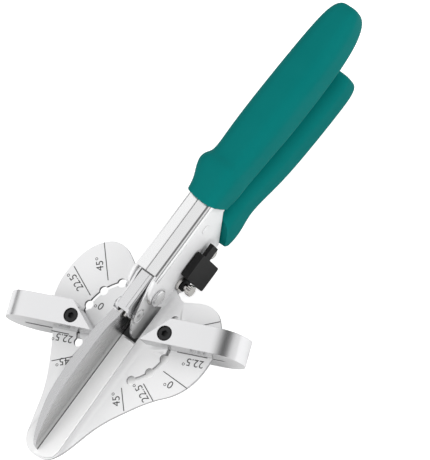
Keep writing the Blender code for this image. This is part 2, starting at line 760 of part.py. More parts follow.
def blade_spacers():
    """Packing plates that fill the holder on both sides of the blade."""
    inner = blade_thick / 2 + CLEAR
    outer = holder_inner - CLEAR
    reach = 1.6 * blade_head_radius
    made = []
    for side, label in ((1, "left"), (-1, "right")):
        points = [
            (blade_screw_x - 0.7 * reach, blade_screw_z - reach),
            (blade_screw_x + reach, blade_screw_z - reach),
            (blade_screw_x + reach, blade_screw_z + reach),
            (blade_screw_x - 0.7 * reach, blade_screw_z + reach)]
        obj = side_plate(
            f"{label}_blade_spacer", points, (outer - inner) / 2, PARTS, NICKEL,
            y=side * (outer + inner) / 2)
        combine(obj, cylinder(
            f"{label}_spacer_bore", (blade_screw_x, 0.0, blade_screw_z), "Y",
            blade_screw_radius + CLEAR, 2 * lever_half, CUTTERS))
        made.append(obj)
    return made


def domed_head(radius, thick, seat, shank_radius, shank_length):
    """Profile of a low domed head on a shank, with the seat at the given height."""
    rim = seat + 0.35 * thick
    profile = [(0.0, seat + thick)]
    for step in range(1, ARC_STEPS + 1):
        turn = math.pi / 2 * step / ARC_STEPS
        profile.append((radius * math.sin(turn), rim + (seat + thick - rim) * math.cos(turn)))
    profile += [(radius, seat), (shank_radius, seat), (shank_radius, seat - shank_length),
                (0.0, seat - shank_length)]
    return profile


def pivot_bolt():
    seat = channel_half + CLEAR
    reach = 2 * channel_half + CLEAR + 0.75 * pivot_head_thick
    return turned(
        "pivot_bolt", domed_head(pivot_head_radius, pivot_head_thick, seat, pivot_radius, reach),
        (pivot_x, 0.0, pivot_z), AXIS_RIGHT, PARTS, CHROME, sides=32)


def pivot_nut():
    seat = channel_half + CLEAR
    bore = pivot_radius + CLEAR
    bore_top = seat + 0.7 * pivot_head_thick + CLEAR
    bolt_end = channel_half + 0.75 * pivot_head_thick
    top = max(seat + pivot_head_thick, bolt_end + 2 * CLEAR + CLEAR)
    profile = [(0.0, top), (0.75 * pivot_head_radius, top), (pivot_head_radius, bore_top),
               (pivot_head_radius, seat), (bore, seat), (bore, bolt_end + CLEAR + CLEAR / 2),
               (0.0, bolt_end + CLEAR + CLEAR / 2)]
    return turned(
        "pivot_nut", profile, (pivot_x, 0.0, pivot_z), AXIS_LEFT, PARTS, CHROME, sides=32)


def ring_profile(inner, outer, low, high):
    return [(inner, high), (outer, high), (outer, low), (inner, low), (inner, high)]


def pivot_bushing():
    return turned(
        "pivot_bushing", ring_profile(bushing_bore, bushing_radius, -lever_half, lever_half),
        (pivot_x, 0.0, pivot_z), AXIS_RIGHT, PARTS, NICKEL)


def hex_cutter(name, centre, turn, radius, depth):
    bm = bmesh.new()
    bmesh.ops.create_cone(
        bm, cap_ends=True, segments=6, radius1=radius, radius2=radius, depth=2 * depth)
    bmesh.ops.transform(bm, matrix=Matrix.Translation(centre) @ turn, verts=bm.verts)
    return add_object(name, mesh_from_bmesh(name, bm), CUTTERS)


def blade_screw():
    """Countersunk head on the right, shank through plates, holder, spacers and blade."""
    cone = blade_head_radius - blade_screw_radius
    end = -(lever_half + CLEAR + 0.7 * blade_head_thick)
    obj = turned(
        "blade_screw",
        [(0.0, lever_half), (blade_head_radius, lever_half),
         (blade_screw_radius, lever_half - cone), (blade_screw_radius, end), (0.0, end)],
        (blade_screw_x, 0.0, blade_screw_z), AXIS_RIGHT, PARTS, CHROME)
    socket = hex_cutter(
        "blade_screw_hex", (blade_screw_x, -lever_half, blade_screw_z),
        AXIS_RIGHT, 0.45 * blade_head_radius, hex_depth)
    bake(obj)
    return combine(obj, socket)


def blade_nut():
    seat = lever_half + CLEAR
    bm = bmesh.new()
    bmesh.ops.create_cone(
        bm, cap_ends=True, segments=6, radius1=blade_head_radius, radius2=blade_head_radius,
        depth=blade_head_thick)
    centre = (blade_screw_x, seat + blade_head_thick / 2, blade_screw_z)
    bmesh.ops.transform(bm, matrix=Matrix.Translation(centre) @ AXIS_RIGHT, verts=bm.verts)
    obj = add_object("blade_nut", mesh_from_bmesh("blade_nut", bm), PARTS, CHROME)
    return combine(obj, cylinder(
        "blade_nut_bore", centre, "Y", blade_screw_radius + CLEAR,
        blade_head_thick + OVERRUN, CUTTERS))


def grip_ring(bm, x, width, depth, height):
    """One rounded-rectangle ring of a grip."""
    corner = 0.3 * min(width, depth)
    points = []
    quarter = 5
    for sy, sz, start in ((1, 1, 0), (-1, 1, 90), (-1, -1, 180), (1, -1, 270)):
        for step in range(quarter):
            turn = math.radians(start + 90 * step / (quarter - 1))
            points.append((sy * (width / 2 - corner) + corner * math.cos(turn),
                           height + sz * (depth / 2 - corner) + corner * math.sin(turn)))
    return [bm.verts.new((x, y, z)) for y, z in points]


def grip_body(name, table, end, width, depth):
    """Loft through the rings of a grip, capped at both ends."""
    bm = bmesh.new()
    rings = []
    for a, b, c, d in smooth_line(list(table), 2):
        rings.append(grip_ring(bm, a * end, b * width, c * depth, d * channel_top))
    for first, second in zip(rings, rings[1:]):
        count = len(first)
        for k in range(count):
            n = (k + 1) % count
            bm.faces.new((first[k], first[n], second[n], second[k]))
    bm.faces.new(rings[0])
    bm.faces.new(rings[-1])
    obj = add_object(name, mesh_from_bmesh(name, bm), PARTS, TEAL)
    obj.data.shade_smooth()
    return obj


def upper_grip():
    obj = grip_body("upper_grip", UPPER_GRIP_SHARES, upper_grip_end, grip_width, grip_depth)
    grow = CLEAR + CLEAR / 6
    tang_top = channel_top - channel_drop
    base = channel_top - 1.3 * tang_depth
    slope_run = channel_bend - tang_depth / 3
    cavity = [
        (0.0, channel_top + grow), (channel_bend, channel_top + grow),
        (channel_reach + grow, tang_top + grow), (channel_reach + grow, tang_top - tang_depth - grow),
        (channel_bend, channel_top - 1.2 * tang_depth - grow), (slope_run + grow, base - grow),
        (skirt_rear, -skirt_depth - grow), (0.0, -skirt_depth)]
    combine(obj, side_plate("upper_cavity", cavity, channel_half + grow, CUTTERS))
    front = UPPER_GRIP_SHARES[0][0] * upper_grip_end
    mouth = [
        (0.0, 2 * channel_top), (front + 0.07 * grip_depth, 2 * channel_top),
        (front + 0.07 * grip_depth, 1.2 * channel_top),
        (front + 0.26 * grip_depth, 0.35 * channel_top),
        (front + 0.26 * grip_depth, -channel_top), (0.0, -channel_top)]
    return combine(obj, side_plate("upper_mouth", mouth, grip_width, CUTTERS))


def grown(points, amount):
    """Polygon pushed outwards by an amount, corners mitred; points run clockwise or not."""
    area = sum(a[0] * b[1] - b[0] * a[1] for a, b in zip(points, points[1:] + points[:1]))
    sign = 1.0 if area > 0 else -1.0
    count = len(points)
    result = []
    for k in range(count):
        p = Vector(points[k - 1])
        q = Vector(points[k])
        r = Vector(points[(k + 1) % count])
        first = (q - p).normalized()
        second = (r - q).normalized()
        n1 = Vector((first.y, -first.x)) * sign
        n2 = Vector((second.y, -second.x)) * sign
        bisector = (n1 + n2).normalized()
        result.append(tuple(q + bisector * amount / max(bisector.dot(n1), 0.4)))
    return result


def lower_grip():
    obj = grip_body(
        "lower_grip", LOWER_GRIP_SHARES, lower_grip_end, lower_grip_width, lower_grip_depth)
    upper, under = lever_side()
    grow = CLEAR + CLEAR / 6
    combine(obj, side_plate(
        "lower_cavity", grown(upper + under, grow), lever_half + grow, CUTTERS))
    slope_run = channel_bend - tang_depth / 3
    base = channel_top - 1.3 * tang_depth
    run = slope_run - skirt_rear
    rise = base + skirt_depth
    gap = mouth_gap * math.hypot(run, rise) / rise
    mouth = [
        (0.0, -2 * channel_top), (skirt_rear, -2 * channel_top),
        (skirt_rear, -skirt_depth - 2 * mouth_gap), (skirt_rear + gap, -skirt_depth),
        (slope_run + gap, base), (slope_run + run + gap, base + rise), (0.0, base + rise)]
    return combine(obj, side_plate("lower_mouth", mouth, grip_width, CUTTERS))


def fence_turn(side, angle):
    """Places a fence drawn outwards along X into its wing, at an angle towards the handles."""
    heading = math.pi / 2 - angle if side > 0 else angle - math.pi / 2
    centre = (fence_centre_x, -side * fence_centre_offset, table_level)
    return Matrix.Translation(centre) @ Matrix.Rotation(heading, 4, "Z")


def fence_profile():
    """Long side of a fence: square inner end, fully rounded outer end."""
    middle = -plate_thick / 2
    top = middle + fence_half_height
    low = middle - fence_half_height
    straight = fence_reach - fence_half_height
    points = [(0.0, low)]
    for step in range(2 * ARC_STEPS + 1):
        turn = -math.pi / 2 + math.pi * step / (2 * ARC_STEPS)
        points.append((straight + fence_half_height * math.cos(turn),
                       middle + fence_half_height * math.sin(turn)))
    points.append((0.0, top))
    return points


def fence(side, label, angle):
    """Aluminium fence that straddles the table, with a mitred inner end."""
    hand = -side
    width = (fence_front + fence_back) / 2
    name = f"{label}_fence"
    offset = hand * (fence_back - fence_front) / 2
    obj = side_plate(name, fence_profile(), width, PARTS, ALUMINIUM, y=offset)
    far = fence_back + OVERRUN
    near = fence_front + OVERRUN
    waste = [
        (-OVERRUN, -hand * near), (mitre - near, -hand * near), (mitre + far, hand * far),
        (-OVERRUN, hand * far)]
    combine(obj, level_plate(
        f"{label}_mitre", waste, -2 * fence_half_height, 2 * fence_half_height, CUTTERS))
    slot_half = slot_gap / 2
    middle = -plate_thick / 2
    slot_side = [(0.0, middle - slot_half)]
    for step in range(ARC_STEPS + 1):
        turn = -math.pi / 2 + math.pi * step / ARC_STEPS
        slot_side.append((fence_slot_reach - slot_half + slot_half * math.cos(turn),
                          middle + slot_half * math.sin(turn)))
    slot_side.append((0.0, middle + slot_half))
    combine(obj, side_plate(
        f"{label}_fence_slot", slot_side, width + OVERRUN, CUTTERS, y=offset))
    reach = mitre + OVERRUN / 2
    edge = mitre + OVERRUN / 3
    relief = [
        (0.0, -hand * near), (reach + near, -hand * near),
        ((reach + edge) / 2, hand * (reach - edge) / 2),
        (edge + far, hand * far), (0.0, hand * far)]
    combine(obj, level_plate(
        f"{label}_relief", relief, -CLEAR, strip_top - table_level + 2 * CLEAR, CUTTERS))
    combine(obj, cylinder(
        f"{label}_screw_bore", (slot_radius, 0.0, 0.0), "Z", fence_screw_radius + CLEAR,
        4 * fence_half_height, CUTTERS))
    sink = fence_head_thick + CLEAR + CLEAR
    combine(obj, cylinder(
        f"{label}_head_sink", (slot_radius, 0.0, fence_rise), "Z", fence_head_radius + CLEAR,
        2 * sink, CUTTERS))
    under = -plate_thick - fence_rise
    combine(obj, cylinder(
        f"{label}_nut_sink", (slot_radius, 0.0, under), "Z", fence_nut_radius + CLEAR,
        2 * (fence_nut_thick + 2 * CLEAR), CUTTERS))
    bake(obj)
    obj.matrix_local = fence_turn(side, angle)
    return obj


def fence_screw(side, label, angle):
    """Clamp screw with a slim waist where it crosses the table's slot."""
    top = fence_rise - CLEAR
    seat = top - fence_head_thick
    low = -plate_thick - fence_rise + fence_nut_thick / 2
    waist_top = 2 * CLEAR
    waist_low = -plate_thick - 2 * CLEAR
    r = fence_screw_radius
    w = fence_screw_waist
    rim = fence_head_radius
    profile = [
        (0.0, top), (rim - CLEAR, top), (rim, top - CLEAR), (rim, seat), (r, seat),
        (r, waist_top + r - w), (w, waist_top), (w, waist_low), (r, waist_low - r + w),
        (r, low), (0.0, low)]
    obj = turned(
        f"{label}_fence_screw", profile, (0.0, 0.0, 0.0), Matrix.Identity(4), PARTS, BLACK_OXIDE)
    bake(obj)
    combine(obj, hex_cutter(
        f"{label}_screw_hex", (0.0, 0.0, top), Matrix.Identity(4), 0.5 * fence_head_radius,
        1.4 * hex_depth))
    bake(obj)
    obj.matrix_local = fence_turn(side, angle) @ Matrix.Translation((slot_radius, 0.0, 0.0))
    return obj


def fence_nut(side, label, angle):
    low = -plate_thick - fence_rise + CLEAR
    bm = bmesh.new()
    bmesh.ops.create_cone(
        bm, cap_ends=True, segments=6, radius1=fence_nut_radius, radius2=fence_nut_radius,
        depth=fence_nut_thick)
    bmesh.ops.translate(bm, verts=bm.verts, vec=(slot_radius, 0.0, low + fence_nut_thick / 2))
    name = f"{label}_fence_nut"
    obj = add_object(name, mesh_from_bmesh(name, bm), PARTS, BLACK_OXIDE)
    combine(obj, cylinder(
        f"{label}_nut_bore", (slot_radius, 0.0, low), "Z", fence_screw_radius + CLEAR,
        4 * fence_nut_thick, CUTTERS))
    bake(obj)
    obj.matrix_local = fence_turn(side, angle)
    return obj


def latch_place():
    """Wall side and outer side of the latch plate along Y."""
    inner = channel_half + CLEAR + latch_spacer_thick + CLEAR
    return inner, inner + latch_thick


def latch():
    """Black plastic catch: ear on the screw, thumb plate, and neck towards the handles."""
    inner, outer = latch_place()
    ear = latch_knob_radius + 2 * CLEAR
    x0 = latch_x + ear
    x1 = x0 + latch_length
    x2 = x1 + latch_neck_length
    top = latch_z + 0.39 * latch_height
    low = top - latch_height
    corner = 0.05 * latch_height
    neck_top = latch_z + 0.65 * latch_neck_height
    neck_low = neck_top - latch_neck_height
    points = [
        (latch_x, latch_z + ear), (x0, latch_z + 1.2 * ear), (x0, top - corner),
        (x0 + corner, top), (x1 - corner, top), (x1, top - corner), (x1, neck_top + corner),
        (x1 + corner / 2, neck_top), (x2 - CLEAR, neck_top), (x2, neck_top - CLEAR),
        (x2, neck_low + CLEAR), (x2 - CLEAR, neck_low), (x1 + corner / 2, neck_low),
        (x1, neck_low - corner), (x1, low + corner), (x1 - corner, low),
        (x0 + corner, low), (x0, low + corner), (x0, latch_z - 1.2 * ear),
        (latch_x, latch_z - ear)]
    for step in range(1, ARC_STEPS):
        turn = math.radians(-90.0 - 180.0 * step / ARC_STEPS)
        points.append((latch_x + ear * math.cos(turn), latch_z + ear * math.sin(turn)))
    obj = side_plate(
        "latch", points, latch_thick / 2, PARTS, BLACK_PLASTIC, y=-(inner + outer) / 2)
    combine(obj, cylinder(
        "latch_hole", (latch_x, -(inner + outer) / 2, latch_z), "Y",
        latch_pin_radius + CLEAR, latch_thick + OVERRUN, CUTTERS))
    bake(obj)
    set_origin(obj, (latch_x, 0.0, latch_z))
    return obj


def latch_screw():
    """Knurled screw that carries the latch, threaded into the wall."""
    outer = latch_place()[1]
    seat = outer + CLEAR
    shank_end = channel_inner + CLEAR
    bm = bmesh.new()
    teeth = 18
    rings = []
    heights = (seat, seat + 0.25 * latch_knob_thick, seat + latch_knob_thick)
    for level, height in enumerate(heights):
        ring = []
        for index in range(2 * teeth):
            turn = math.pi * index / teeth
            depth = 0.9 if index % 2 or level == 0 else 1.0
            radius = latch_knob_radius * depth
            ring.append(bm.verts.new((radius * math.cos(turn), radius * math.sin(turn), height)))
        rings.append(ring)
    for first, second in zip(rings, rings[1:]):
        for k in range(2 * teeth):
            n = (k + 1) % (2 * teeth)
            bm.faces.new((first[k], first[n], second[n], second[k]))
    bm.faces.new(rings[0])
    bm.faces.new(rings[-1])
    bmesh.ops.transform(
        bm, matrix=Matrix.Translation((latch_x, 0.0, latch_z)) @ AXIS_RIGHT, verts=bm.verts)
    obj = add_object("latch_screw", mesh_from_bmesh("latch_screw", bm), PARTS, NICKEL)
    shank = cylinder(
        "latch_shank", (latch_x, -(shank_end + seat + CLEAR) / 2, latch_z), "Y",
        latch_pin_radius, seat + CLEAR - shank_end, CUTTERS, sides=16)
    return combine(obj, shank, "UNION")


def latch_spacer():
    low = channel_half + CLEAR
    return turned(
        "latch_spacer",
        ring_profile(latch_pin_radius + CLEAR, latch_knob_radius + 2 * CLEAR, low,
                     low + latch_spacer_thick),
        (latch_x, 0.0, latch_z), AXIS_RIGHT, PARTS, NICKEL)


def lock_pin():
    """Pin in the lever's right plate, its head outside the wall beside the latch."""
    low = lever_inner - CLEAR - lock_head_thick / 2
    inner_top = lever_inner - CLEAR
    seat = channel_half + CLEAR
    top = seat + lock_head_thick
    r = lock_pin_radius
    profile = [
        (0.0, top), (0.8 * lock_head_radius, top), (lock_head_radius, top - 0.3 * lock_head_thick),
        (lock_head_radius, seat), (r, seat), (r, inner_top), (1.25 * r, inner_top),
        (1.25 * r, low), (0.0, low)]
    return turned(
        "lock_pin", profile, (lock_pin_x, 0.0, lock_pin_z), AXIS_RIGHT, PARTS, NICKEL, sides=20)


def under_height(x):
    """Height of the lever's underside at a station."""
    points = [(a * lever_reach, b * channel_top) for a, b in LEVER_UNDER_SHARES]
    for (x1, z1), (x0, z0) in zip(points, points[1:]):
        if x0 <= x <= x1:
            return z0 + (z1 - z0) * (x - x0) / (x1 - x0)
    return points[-1][1]


def return_spring():
    """Compression spring that presses the lever away from the channel."""
    low = under_height(spring_x) + lever_wall + 2 * CLEAR + spring_wire
    high = ceiling_z - CLEAR - spring_wire
    points = []
    per_turn = 10
    total = spring_turns * per_turn
    for index in range(total + 1):
        turn = 2 * math.pi * index / per_turn
        rise = low + (high - low) * index / total
        points.append((spring_x + spring_radius * math.cos(turn),
                       spring_radius * math.sin(turn), rise))
    gap = (high - low) / spring_turns - 2 * spring_wire
    print("least gap between spring turns:", round(gap / MM, 2), "mm")
    curve = bpy.data.curves.new("return_spring", "CURVE")
    curve.dimensions = "3D"
    curve.bevel_depth = spring_wire
    curve.bevel_resolution = 1
    curve.use_fill_caps = True
    spline = curve.splines.new("POLY")
    spline.points.add(len(points) - 1)
    for point, co in zip(spline.points, points):
        point.co = (*co, 1.0)
    obj = bpy.data.objects.new("return_spring", curve)
    PARTS.objects.link(obj)
    obj.parent = REST
    curve.materials.append(NICKEL)
    return obj


def bottom_points(obj):
    """Corners of an object in the assembly's frame."""
    depsgraph = bpy.context.evaluated_depsgraph_get()
    evaluated = obj.evaluated_get(depsgraph)
    return [obj.matrix_local @ vert.co for vert in evaluated.data.vertices]


def rest_rotation(left, right, grip):
    """Turn that lays both fences and the lower grip on one level plane."""
    turn = Matrix.Identity(3)
    for _ in range(8):
        lowest = []
        for group in (left, right, grip):
            lowest.append(min(group, key=lambda p: (turn @ p).z))
        a, b, c = lowest
        normal = (b - a).cross(c - a).normalized()
        if normal.z < 0:
            normal = -normal
        turn = normal.rotation_difference(Vector((0.0, 0.0, 1.0))).to_matrix()
    return turn.to_4x4()


def report_place(label, point):
    world = REST.matrix_world @ Vector(point)
    print(label, [round(value, 6) for value in world])


def settle(nodes):
    """Leans the assembly onto its three supports and centres it over the origin."""
    bpy.context.view_layer.update()
    groups = [bottom_points(bpy.data.objects[name])
              for name in ("left_fence", "right_fence", "lower_grip")]
    REST.matrix_world = rest_rotation(*groups)
    bpy.context.view_layer.update()
    depsgraph = bpy.context.evaluated_depsgraph_get()
    corners = []
    for obj in nodes:
        evaluated = obj.evaluated_get(depsgraph)
        mesh = evaluated.to_mesh()
        corners += [obj.matrix_world @ vert.co for vert in mesh.vertices]
        evaluated.to_mesh_clear()
    low = Vector([min(p[k] for p in corners) for k in range(3)])
    high = Vector([max(p[k] for p in corners) for k in range(3)])
    shift = Vector((-(low.x + high.x) / 2, -(low.y + high.y) / 2, -low.z))
    REST.matrix_world = Matrix.Translation(shift) @ REST.matrix_world
    bpy.context.view_layer.update()
    print("size in mm:", [round(value / MM, 2) for value in high - low])


def report_frame():
    for name, vector in (("axis_x", (1, 0, 0)), ("axis_y", (0, 1, 0)), ("axis_z", (0, 0, 1))):
        turned_axis = REST.matrix_world.to_3x3() @ Vector(vector)
        print(name, [round(value, 7) for value in turned_axis])
    report_place("origin", (0, 0, 0))
    report_place("pivot", (pivot_x, 0, pivot_z))
    report_place("latch_pivot", (latch_x, 0, latch_z))
    for side, label, angle in FENCES:
        report_place(
            f"{label}_fence_centre",
            (fence_centre_x, -side * fence_centre_offset, table_level))
        hub = fence_turn(side, angle) @ Vector((slot_radius, 0, 0))
        report_place(f"{label}_screw", hub)
    report_place("right_table_face", (0.0, -0.75 * plate_half_width, table_level))


def smooth_round(nodes):
    for obj in nodes:
        if obj.type == "MESH":
            obj.data.shade_smooth()
            obj.data.set_sharp_from_angle(angle=math.radians(35.0))


FENCES = ((1, "left", -detent_step), (-1, "right", detent_step))


def build():
    made = [body_frame(), anvil_strip()] + anvil_rivets()
    made += [lever_frame(), blade_holder(), blade()] + blade_spacers()
    made += [pivot_bolt(), pivot_nut(), pivot_bushing(), blade_screw(), blade_nut()]
    made += [upper_grip(), lower_grip()]
    for side, label, angle in FENCES:
        made.append(fence(side, label, angle))
        made.append(fence_screw(side, label, angle))
        made.append(fence_nut(side, label, angle))
    made += [latch(), latch_screw(), latch_spacer(), lock_pin(), return_spring()]
    smooth_round(made)
    settle(made)
    report_frame()


build()
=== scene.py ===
import json
import math

import bpy
from mathutils import Matrix, Vector


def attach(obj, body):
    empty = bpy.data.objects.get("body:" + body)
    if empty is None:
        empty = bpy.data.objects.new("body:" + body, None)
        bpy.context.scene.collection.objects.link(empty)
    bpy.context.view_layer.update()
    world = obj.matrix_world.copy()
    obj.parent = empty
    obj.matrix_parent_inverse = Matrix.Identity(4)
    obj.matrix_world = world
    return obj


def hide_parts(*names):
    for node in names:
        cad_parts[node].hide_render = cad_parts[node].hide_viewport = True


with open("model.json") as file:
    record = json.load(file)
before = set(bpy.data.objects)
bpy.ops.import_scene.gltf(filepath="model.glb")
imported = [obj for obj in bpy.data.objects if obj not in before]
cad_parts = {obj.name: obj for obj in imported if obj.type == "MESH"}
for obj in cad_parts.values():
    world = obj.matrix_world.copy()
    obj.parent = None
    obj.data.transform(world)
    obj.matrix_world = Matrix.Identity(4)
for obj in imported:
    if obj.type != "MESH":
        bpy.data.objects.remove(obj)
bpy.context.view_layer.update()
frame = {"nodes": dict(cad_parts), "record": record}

# Studio: the tool lies on its two fences and its lower grip on a white floor. White
# panels stand above it and to its left, a narrow one low on its right, and the air
# between those is dark. A long lens looks down on its right side.
joints = {joint["name"]: joint for joint in frame["record"]["behaviour"]["joints"]}
tool_y = Vector(joints["jaw"]["axis"])
tool_z = Vector(joints["left_fence_swing"]["axis"])
tool_x = tool_y.cross(tool_z)
pivot_place = Vector(joints["jaw"]["pos_m"])
rest = Matrix((tool_x, tool_y, tool_z)).transposed().to_4x4()
pivot_on_tool = Vector((0.027, 0.0, 0.0135))
rest.translation = pivot_place - rest.to_3x3() @ pivot_on_tool

pixel = 1 / 2280
lean = math.radians(3.5)
sight = Vector((0.0, -0.4226, 0.9063))
along = Vector((1.0, 0.0, 0.0))
across = Vector((0.0, -0.9063, -0.4226))
sight, along = (
    sight * math.cos(lean) - along * math.sin(lean),
    along * math.cos(lean) + sight * math.sin(lean))
image_right = 0.594 * along + 0.804 * across
image_up = 0.804 * along - 0.594 * across
picture_middle = (215, 230)
table_in_picture = (120, 347)
aim = image_right * (picture_middle[0] - table_in_picture[0]) * pixel
aim += image_up * (table_in_picture[1] - picture_middle[1]) * pixel
aim += Vector((0.0007, 0.0, 0.0))
distance = 1.5
table_height = 0.011
picture_height = 460
camera_data = bpy.data.cameras.new("camera")
camera_data.sensor_width = 36.0
camera_data.lens = camera_data.sensor_width * distance / (picture_height * pixel)
camera_data.clip_end = 20.0
camera = bpy.data.objects.new("camera", camera_data)
bpy.context.scene.collection.objects.link(camera)
turn = Matrix((image_right, image_up, sight)).transposed().to_4x4()
camera.matrix_world = rest @ Matrix.Translation(aim + sight * (distance + table_height)) @ turn
bpy.context.scene.camera = camera

bpy.ops.object.select_all(action="DESELECT")
bpy.ops.mesh.primitive_plane_add(size=6.0, location=(0.0, 0.0, -0.0003))
floor = bpy.context.object
floor.name = "floor"
floor_white = bpy.data.materials.new("floor_white")
floor_white.use_nodes = True
tree = floor_white.node_tree
shader = tree.nodes["Principled BSDF"]
shader.inputs["Roughness"].default_value = 0.9
shader.inputs["Specular IOR Level"].default_value = 0.1
shader.inputs["Emission Color"].default_value = (1.0, 1.0, 1.0, 1.0)
rays = tree.nodes.new("ShaderNodeLightPath")
glow = tree.nodes.new("ShaderNodeMath")
glow.operation = "MULTIPLY_ADD"
glow.inputs[1].default_value = 0.75
glossy_glow = tree.nodes.new("ShaderNodeMath")
glossy_glow.operation = "MULTIPLY"
glossy_glow.inputs[1].default_value = 0.2
tree.links.new(rays.outputs["Is Glossy Ray"], glossy_glow.inputs[0])
tree.links.new(rays.outputs["Is Camera Ray"], glow.inputs[0])

# An oval of floor under the table is painted dark and loses its glow there: a painted
# shadow, so that the opening beside the blade looks down into shade.
under_table = rest @ Vector((0.008, -0.001, -0.013))
shade_place = tree.nodes.new("ShaderNodeTexCoord")
shade_oval = tree.nodes.new("ShaderNodeMapping")
shade_oval.vector_type = "TEXTURE"
shade_oval.inputs["Location"].default_value = (under_table.x, under_table.y, 0.0)
shade_oval.inputs["Scale"].default_value = (0.022, 0.017, 1.0)
shade_reach = tree.nodes.new("ShaderNodeVectorMath")
shade_reach.operation = "LENGTH"
shade_edge = tree.nodes.new("ShaderNodeMapRange")
shade_edge.inputs["From Min"].default_value = 0.75
shade_edge.inputs["From Max"].default_value = 1.1
unshaded = tree.nodes.new("ShaderNodeMath")
unshaded.operation = "MULTIPLY"
tree.links.new(shade_place.outputs["Object"], shade_oval.inputs["Vector"])
tree.links.new(shade_oval.outputs["Vector"], shade_reach.inputs[0])
tree.links.new(shade_reach.outputs["Value"], shade_edge.inputs["Value"])
tree.links.new(glossy_glow.outputs[0], glow.inputs[2])
# Painted shadow: the floor's colour is dark inside the oval and pale outside it.
painted_floor_shadow = tree.nodes.new("ShaderNodeMixRGB")
painted_floor_shadow.inputs["Color1"].default_value = (0.08, 0.08, 0.08, 1.0)
painted_floor_shadow.inputs["Color2"].default_value = (0.72, 0.72, 0.72, 1.0)
tree.links.new(shade_edge.outputs["Result"], painted_floor_shadow.inputs["Fac"])
tree.links.new(painted_floor_shadow.outputs["Color"], shader.inputs["Base Color"])
tree.links.new(glow.outputs[0], unshaded.inputs[0])
tree.links.new(shade_edge.outputs["Result"], unshaded.inputs[1])
tree.links.new(unshaded.outputs[0], shader.inputs["Emission Strength"])
floor.data.materials.append(floor_white)

world = bpy.data.worlds.new("studio")
bpy.context.scene.world = world
world.use_nodes = True
tree = world.node_tree
backdrop = tree.nodes["Background"]
direction = tree.nodes.new("ShaderNodeTexCoord")
split = tree.nodes.new("ShaderNodeSeparateXYZ")
from_left = tree.nodes.new("ShaderNodeMapRange")
from_left.inputs["From Min"].default_value = -1.0
from_left.inputs["From Max"].default_value = 1.0
panels = tree.nodes.new("ShaderNodeValToRGB")
tree.links.new(direction.outputs["Generated"], split.inputs[0])
tree.links.new(split.outputs["Y"], from_left.inputs["Value"])
tree.links.new(from_left.outputs["Result"], panels.inputs["Fac"])
panels.color_ramp.elements[0].position = 0.0
panels.color_ramp.elements[0].color = (0.3, 0.3, 0.3, 1.0)
panels.color_ramp.elements[1].position = 1.0
panels.color_ramp.elements[1].color = (0.35, 0.35, 0.35, 1.0)
for position, level in (
        (0.02, 0.25), (0.05, 0.9), (0.11, 0.9), (0.17, 0.3), (0.25, 0.1), (0.33, 0.14),
        (0.44, 0.5), (0.55, 0.85), (0.7, 1.0), (0.9, 1.0), (0.95, 0.9), (0.975, 0.3)):
    panel = panels.color_ramp.elements.new(position)
    panel.color = (level, level, level, 1.0)
rays = tree.nodes.new("ShaderNodeLightPath")
pick = tree.nodes.new("ShaderNodeMixRGB")
pick.inputs["Color2"].default_value = (1.0, 1.0, 1.0, 1.0)
tree.links.new(rays.outputs["Is Camera Ray"], pick.inputs["Fac"])
tree.links.new(panels.outputs["Color"], pick.inputs["Color1"])
tree.links.new(pick.outputs["Color"], backdrop.inputs["Color"])

for name, place, energy, size in (
        ("key_light", (-0.9, 0.2, 1.0), 5.5, 0.7),
        ("right_front_light", (-0.8, -0.9, 0.6), 8.0, 0.8),
        ("right_rear_light", (0.9, -0.9, 0.6), 10.5, 0.8)):
    lamp_data = bpy.data.lights.new(name, "AREA")
    lamp_data.energy = energy
    lamp_data.size = size
    lamp = bpy.data.objects.new(name, lamp_data)
    bpy.context.scene.collection.objects.link(lamp)
    lamp.location = place
    lamp.rotation_euler = Vector(place).to_track_quat("Z", "Y").to_euler()
    lamp.visible_glossy = False

bpy.context.scene.view_settings.view_transform = "Standard"


# Body: one pressed and folded sheet of satin-plated steel. Table, walls and
# channel keep the grain of the blasted plating, a crease runs along the top of
# the channel, and a half-pierced boss stands on the right wall.
def metal(name, colour, roughness, grain=3500.0, depth=0.00001, stretch=(1.0, 1.0, 1.0),
          wander=0.05, shade=0.04, metallic=1.0):
    """Metal with a fine grain in its colour, bump and roughness, drawn out one way."""
    finish = bpy.data.materials.new(name)
    finish.use_nodes = True
    tree = finish.node_tree
    shader = tree.nodes["Principled BSDF"]
    shader.inputs["Metallic"].default_value = metallic
    place = tree.nodes.new("ShaderNodeTexCoord")
    mapping = tree.nodes.new("ShaderNodeMapping")
    mapping.inputs["Scale"].default_value = stretch
    tree.links.new(place.outputs["Object"], mapping.inputs["Vector"])
    noise = tree.nodes.new("ShaderNodeTexNoise")
    noise.inputs["Scale"].default_value = grain
    noise.inputs["Detail"].default_value = 4.0
    tree.links.new(mapping.outputs["Vector"], noise.inputs["Vector"])
    spread = tree.nodes.new("ShaderNodeMapRange")
    spread.inputs["To Min"].default_value = roughness - wander
    spread.inputs["To Max"].default_value = roughness + wander
    tree.links.new(noise.outputs["Fac"], spread.inputs["Value"])
    tree.links.new(spread.outputs["Result"], shader.inputs["Roughness"])
    tint = tree.nodes.new("ShaderNodeMixRGB")
    tint.name = "tint"
    tint.inputs["Color1"].default_value = (*[c * (1 - shade) for c in colour], 1.0)
    tint.inputs["Color2"].default_value = (*colour, 1.0)
    tree.links.new(noise.outputs["Fac"], tint.inputs["Fac"])
    tree.links.new(tint.outputs["Color"], shader.inputs["Base Color"])
    bump = tree.nodes.new("ShaderNodeBump")
    bump.inputs["Strength"].default_value = 0.5
    bump.inputs["Distance"].default_value = depth
    tree.links.new(noise.outputs["Fac"], bump.inputs["Height"])
    tree.links.new(bump.outputs["Normal"], shader.inputs["Normal"])
    return finish


def activate(piece):
    bpy.ops.object.select_all(action="DESELECT")
    piece.select_set(True)
    bpy.context.view_layer.objects.active = piece


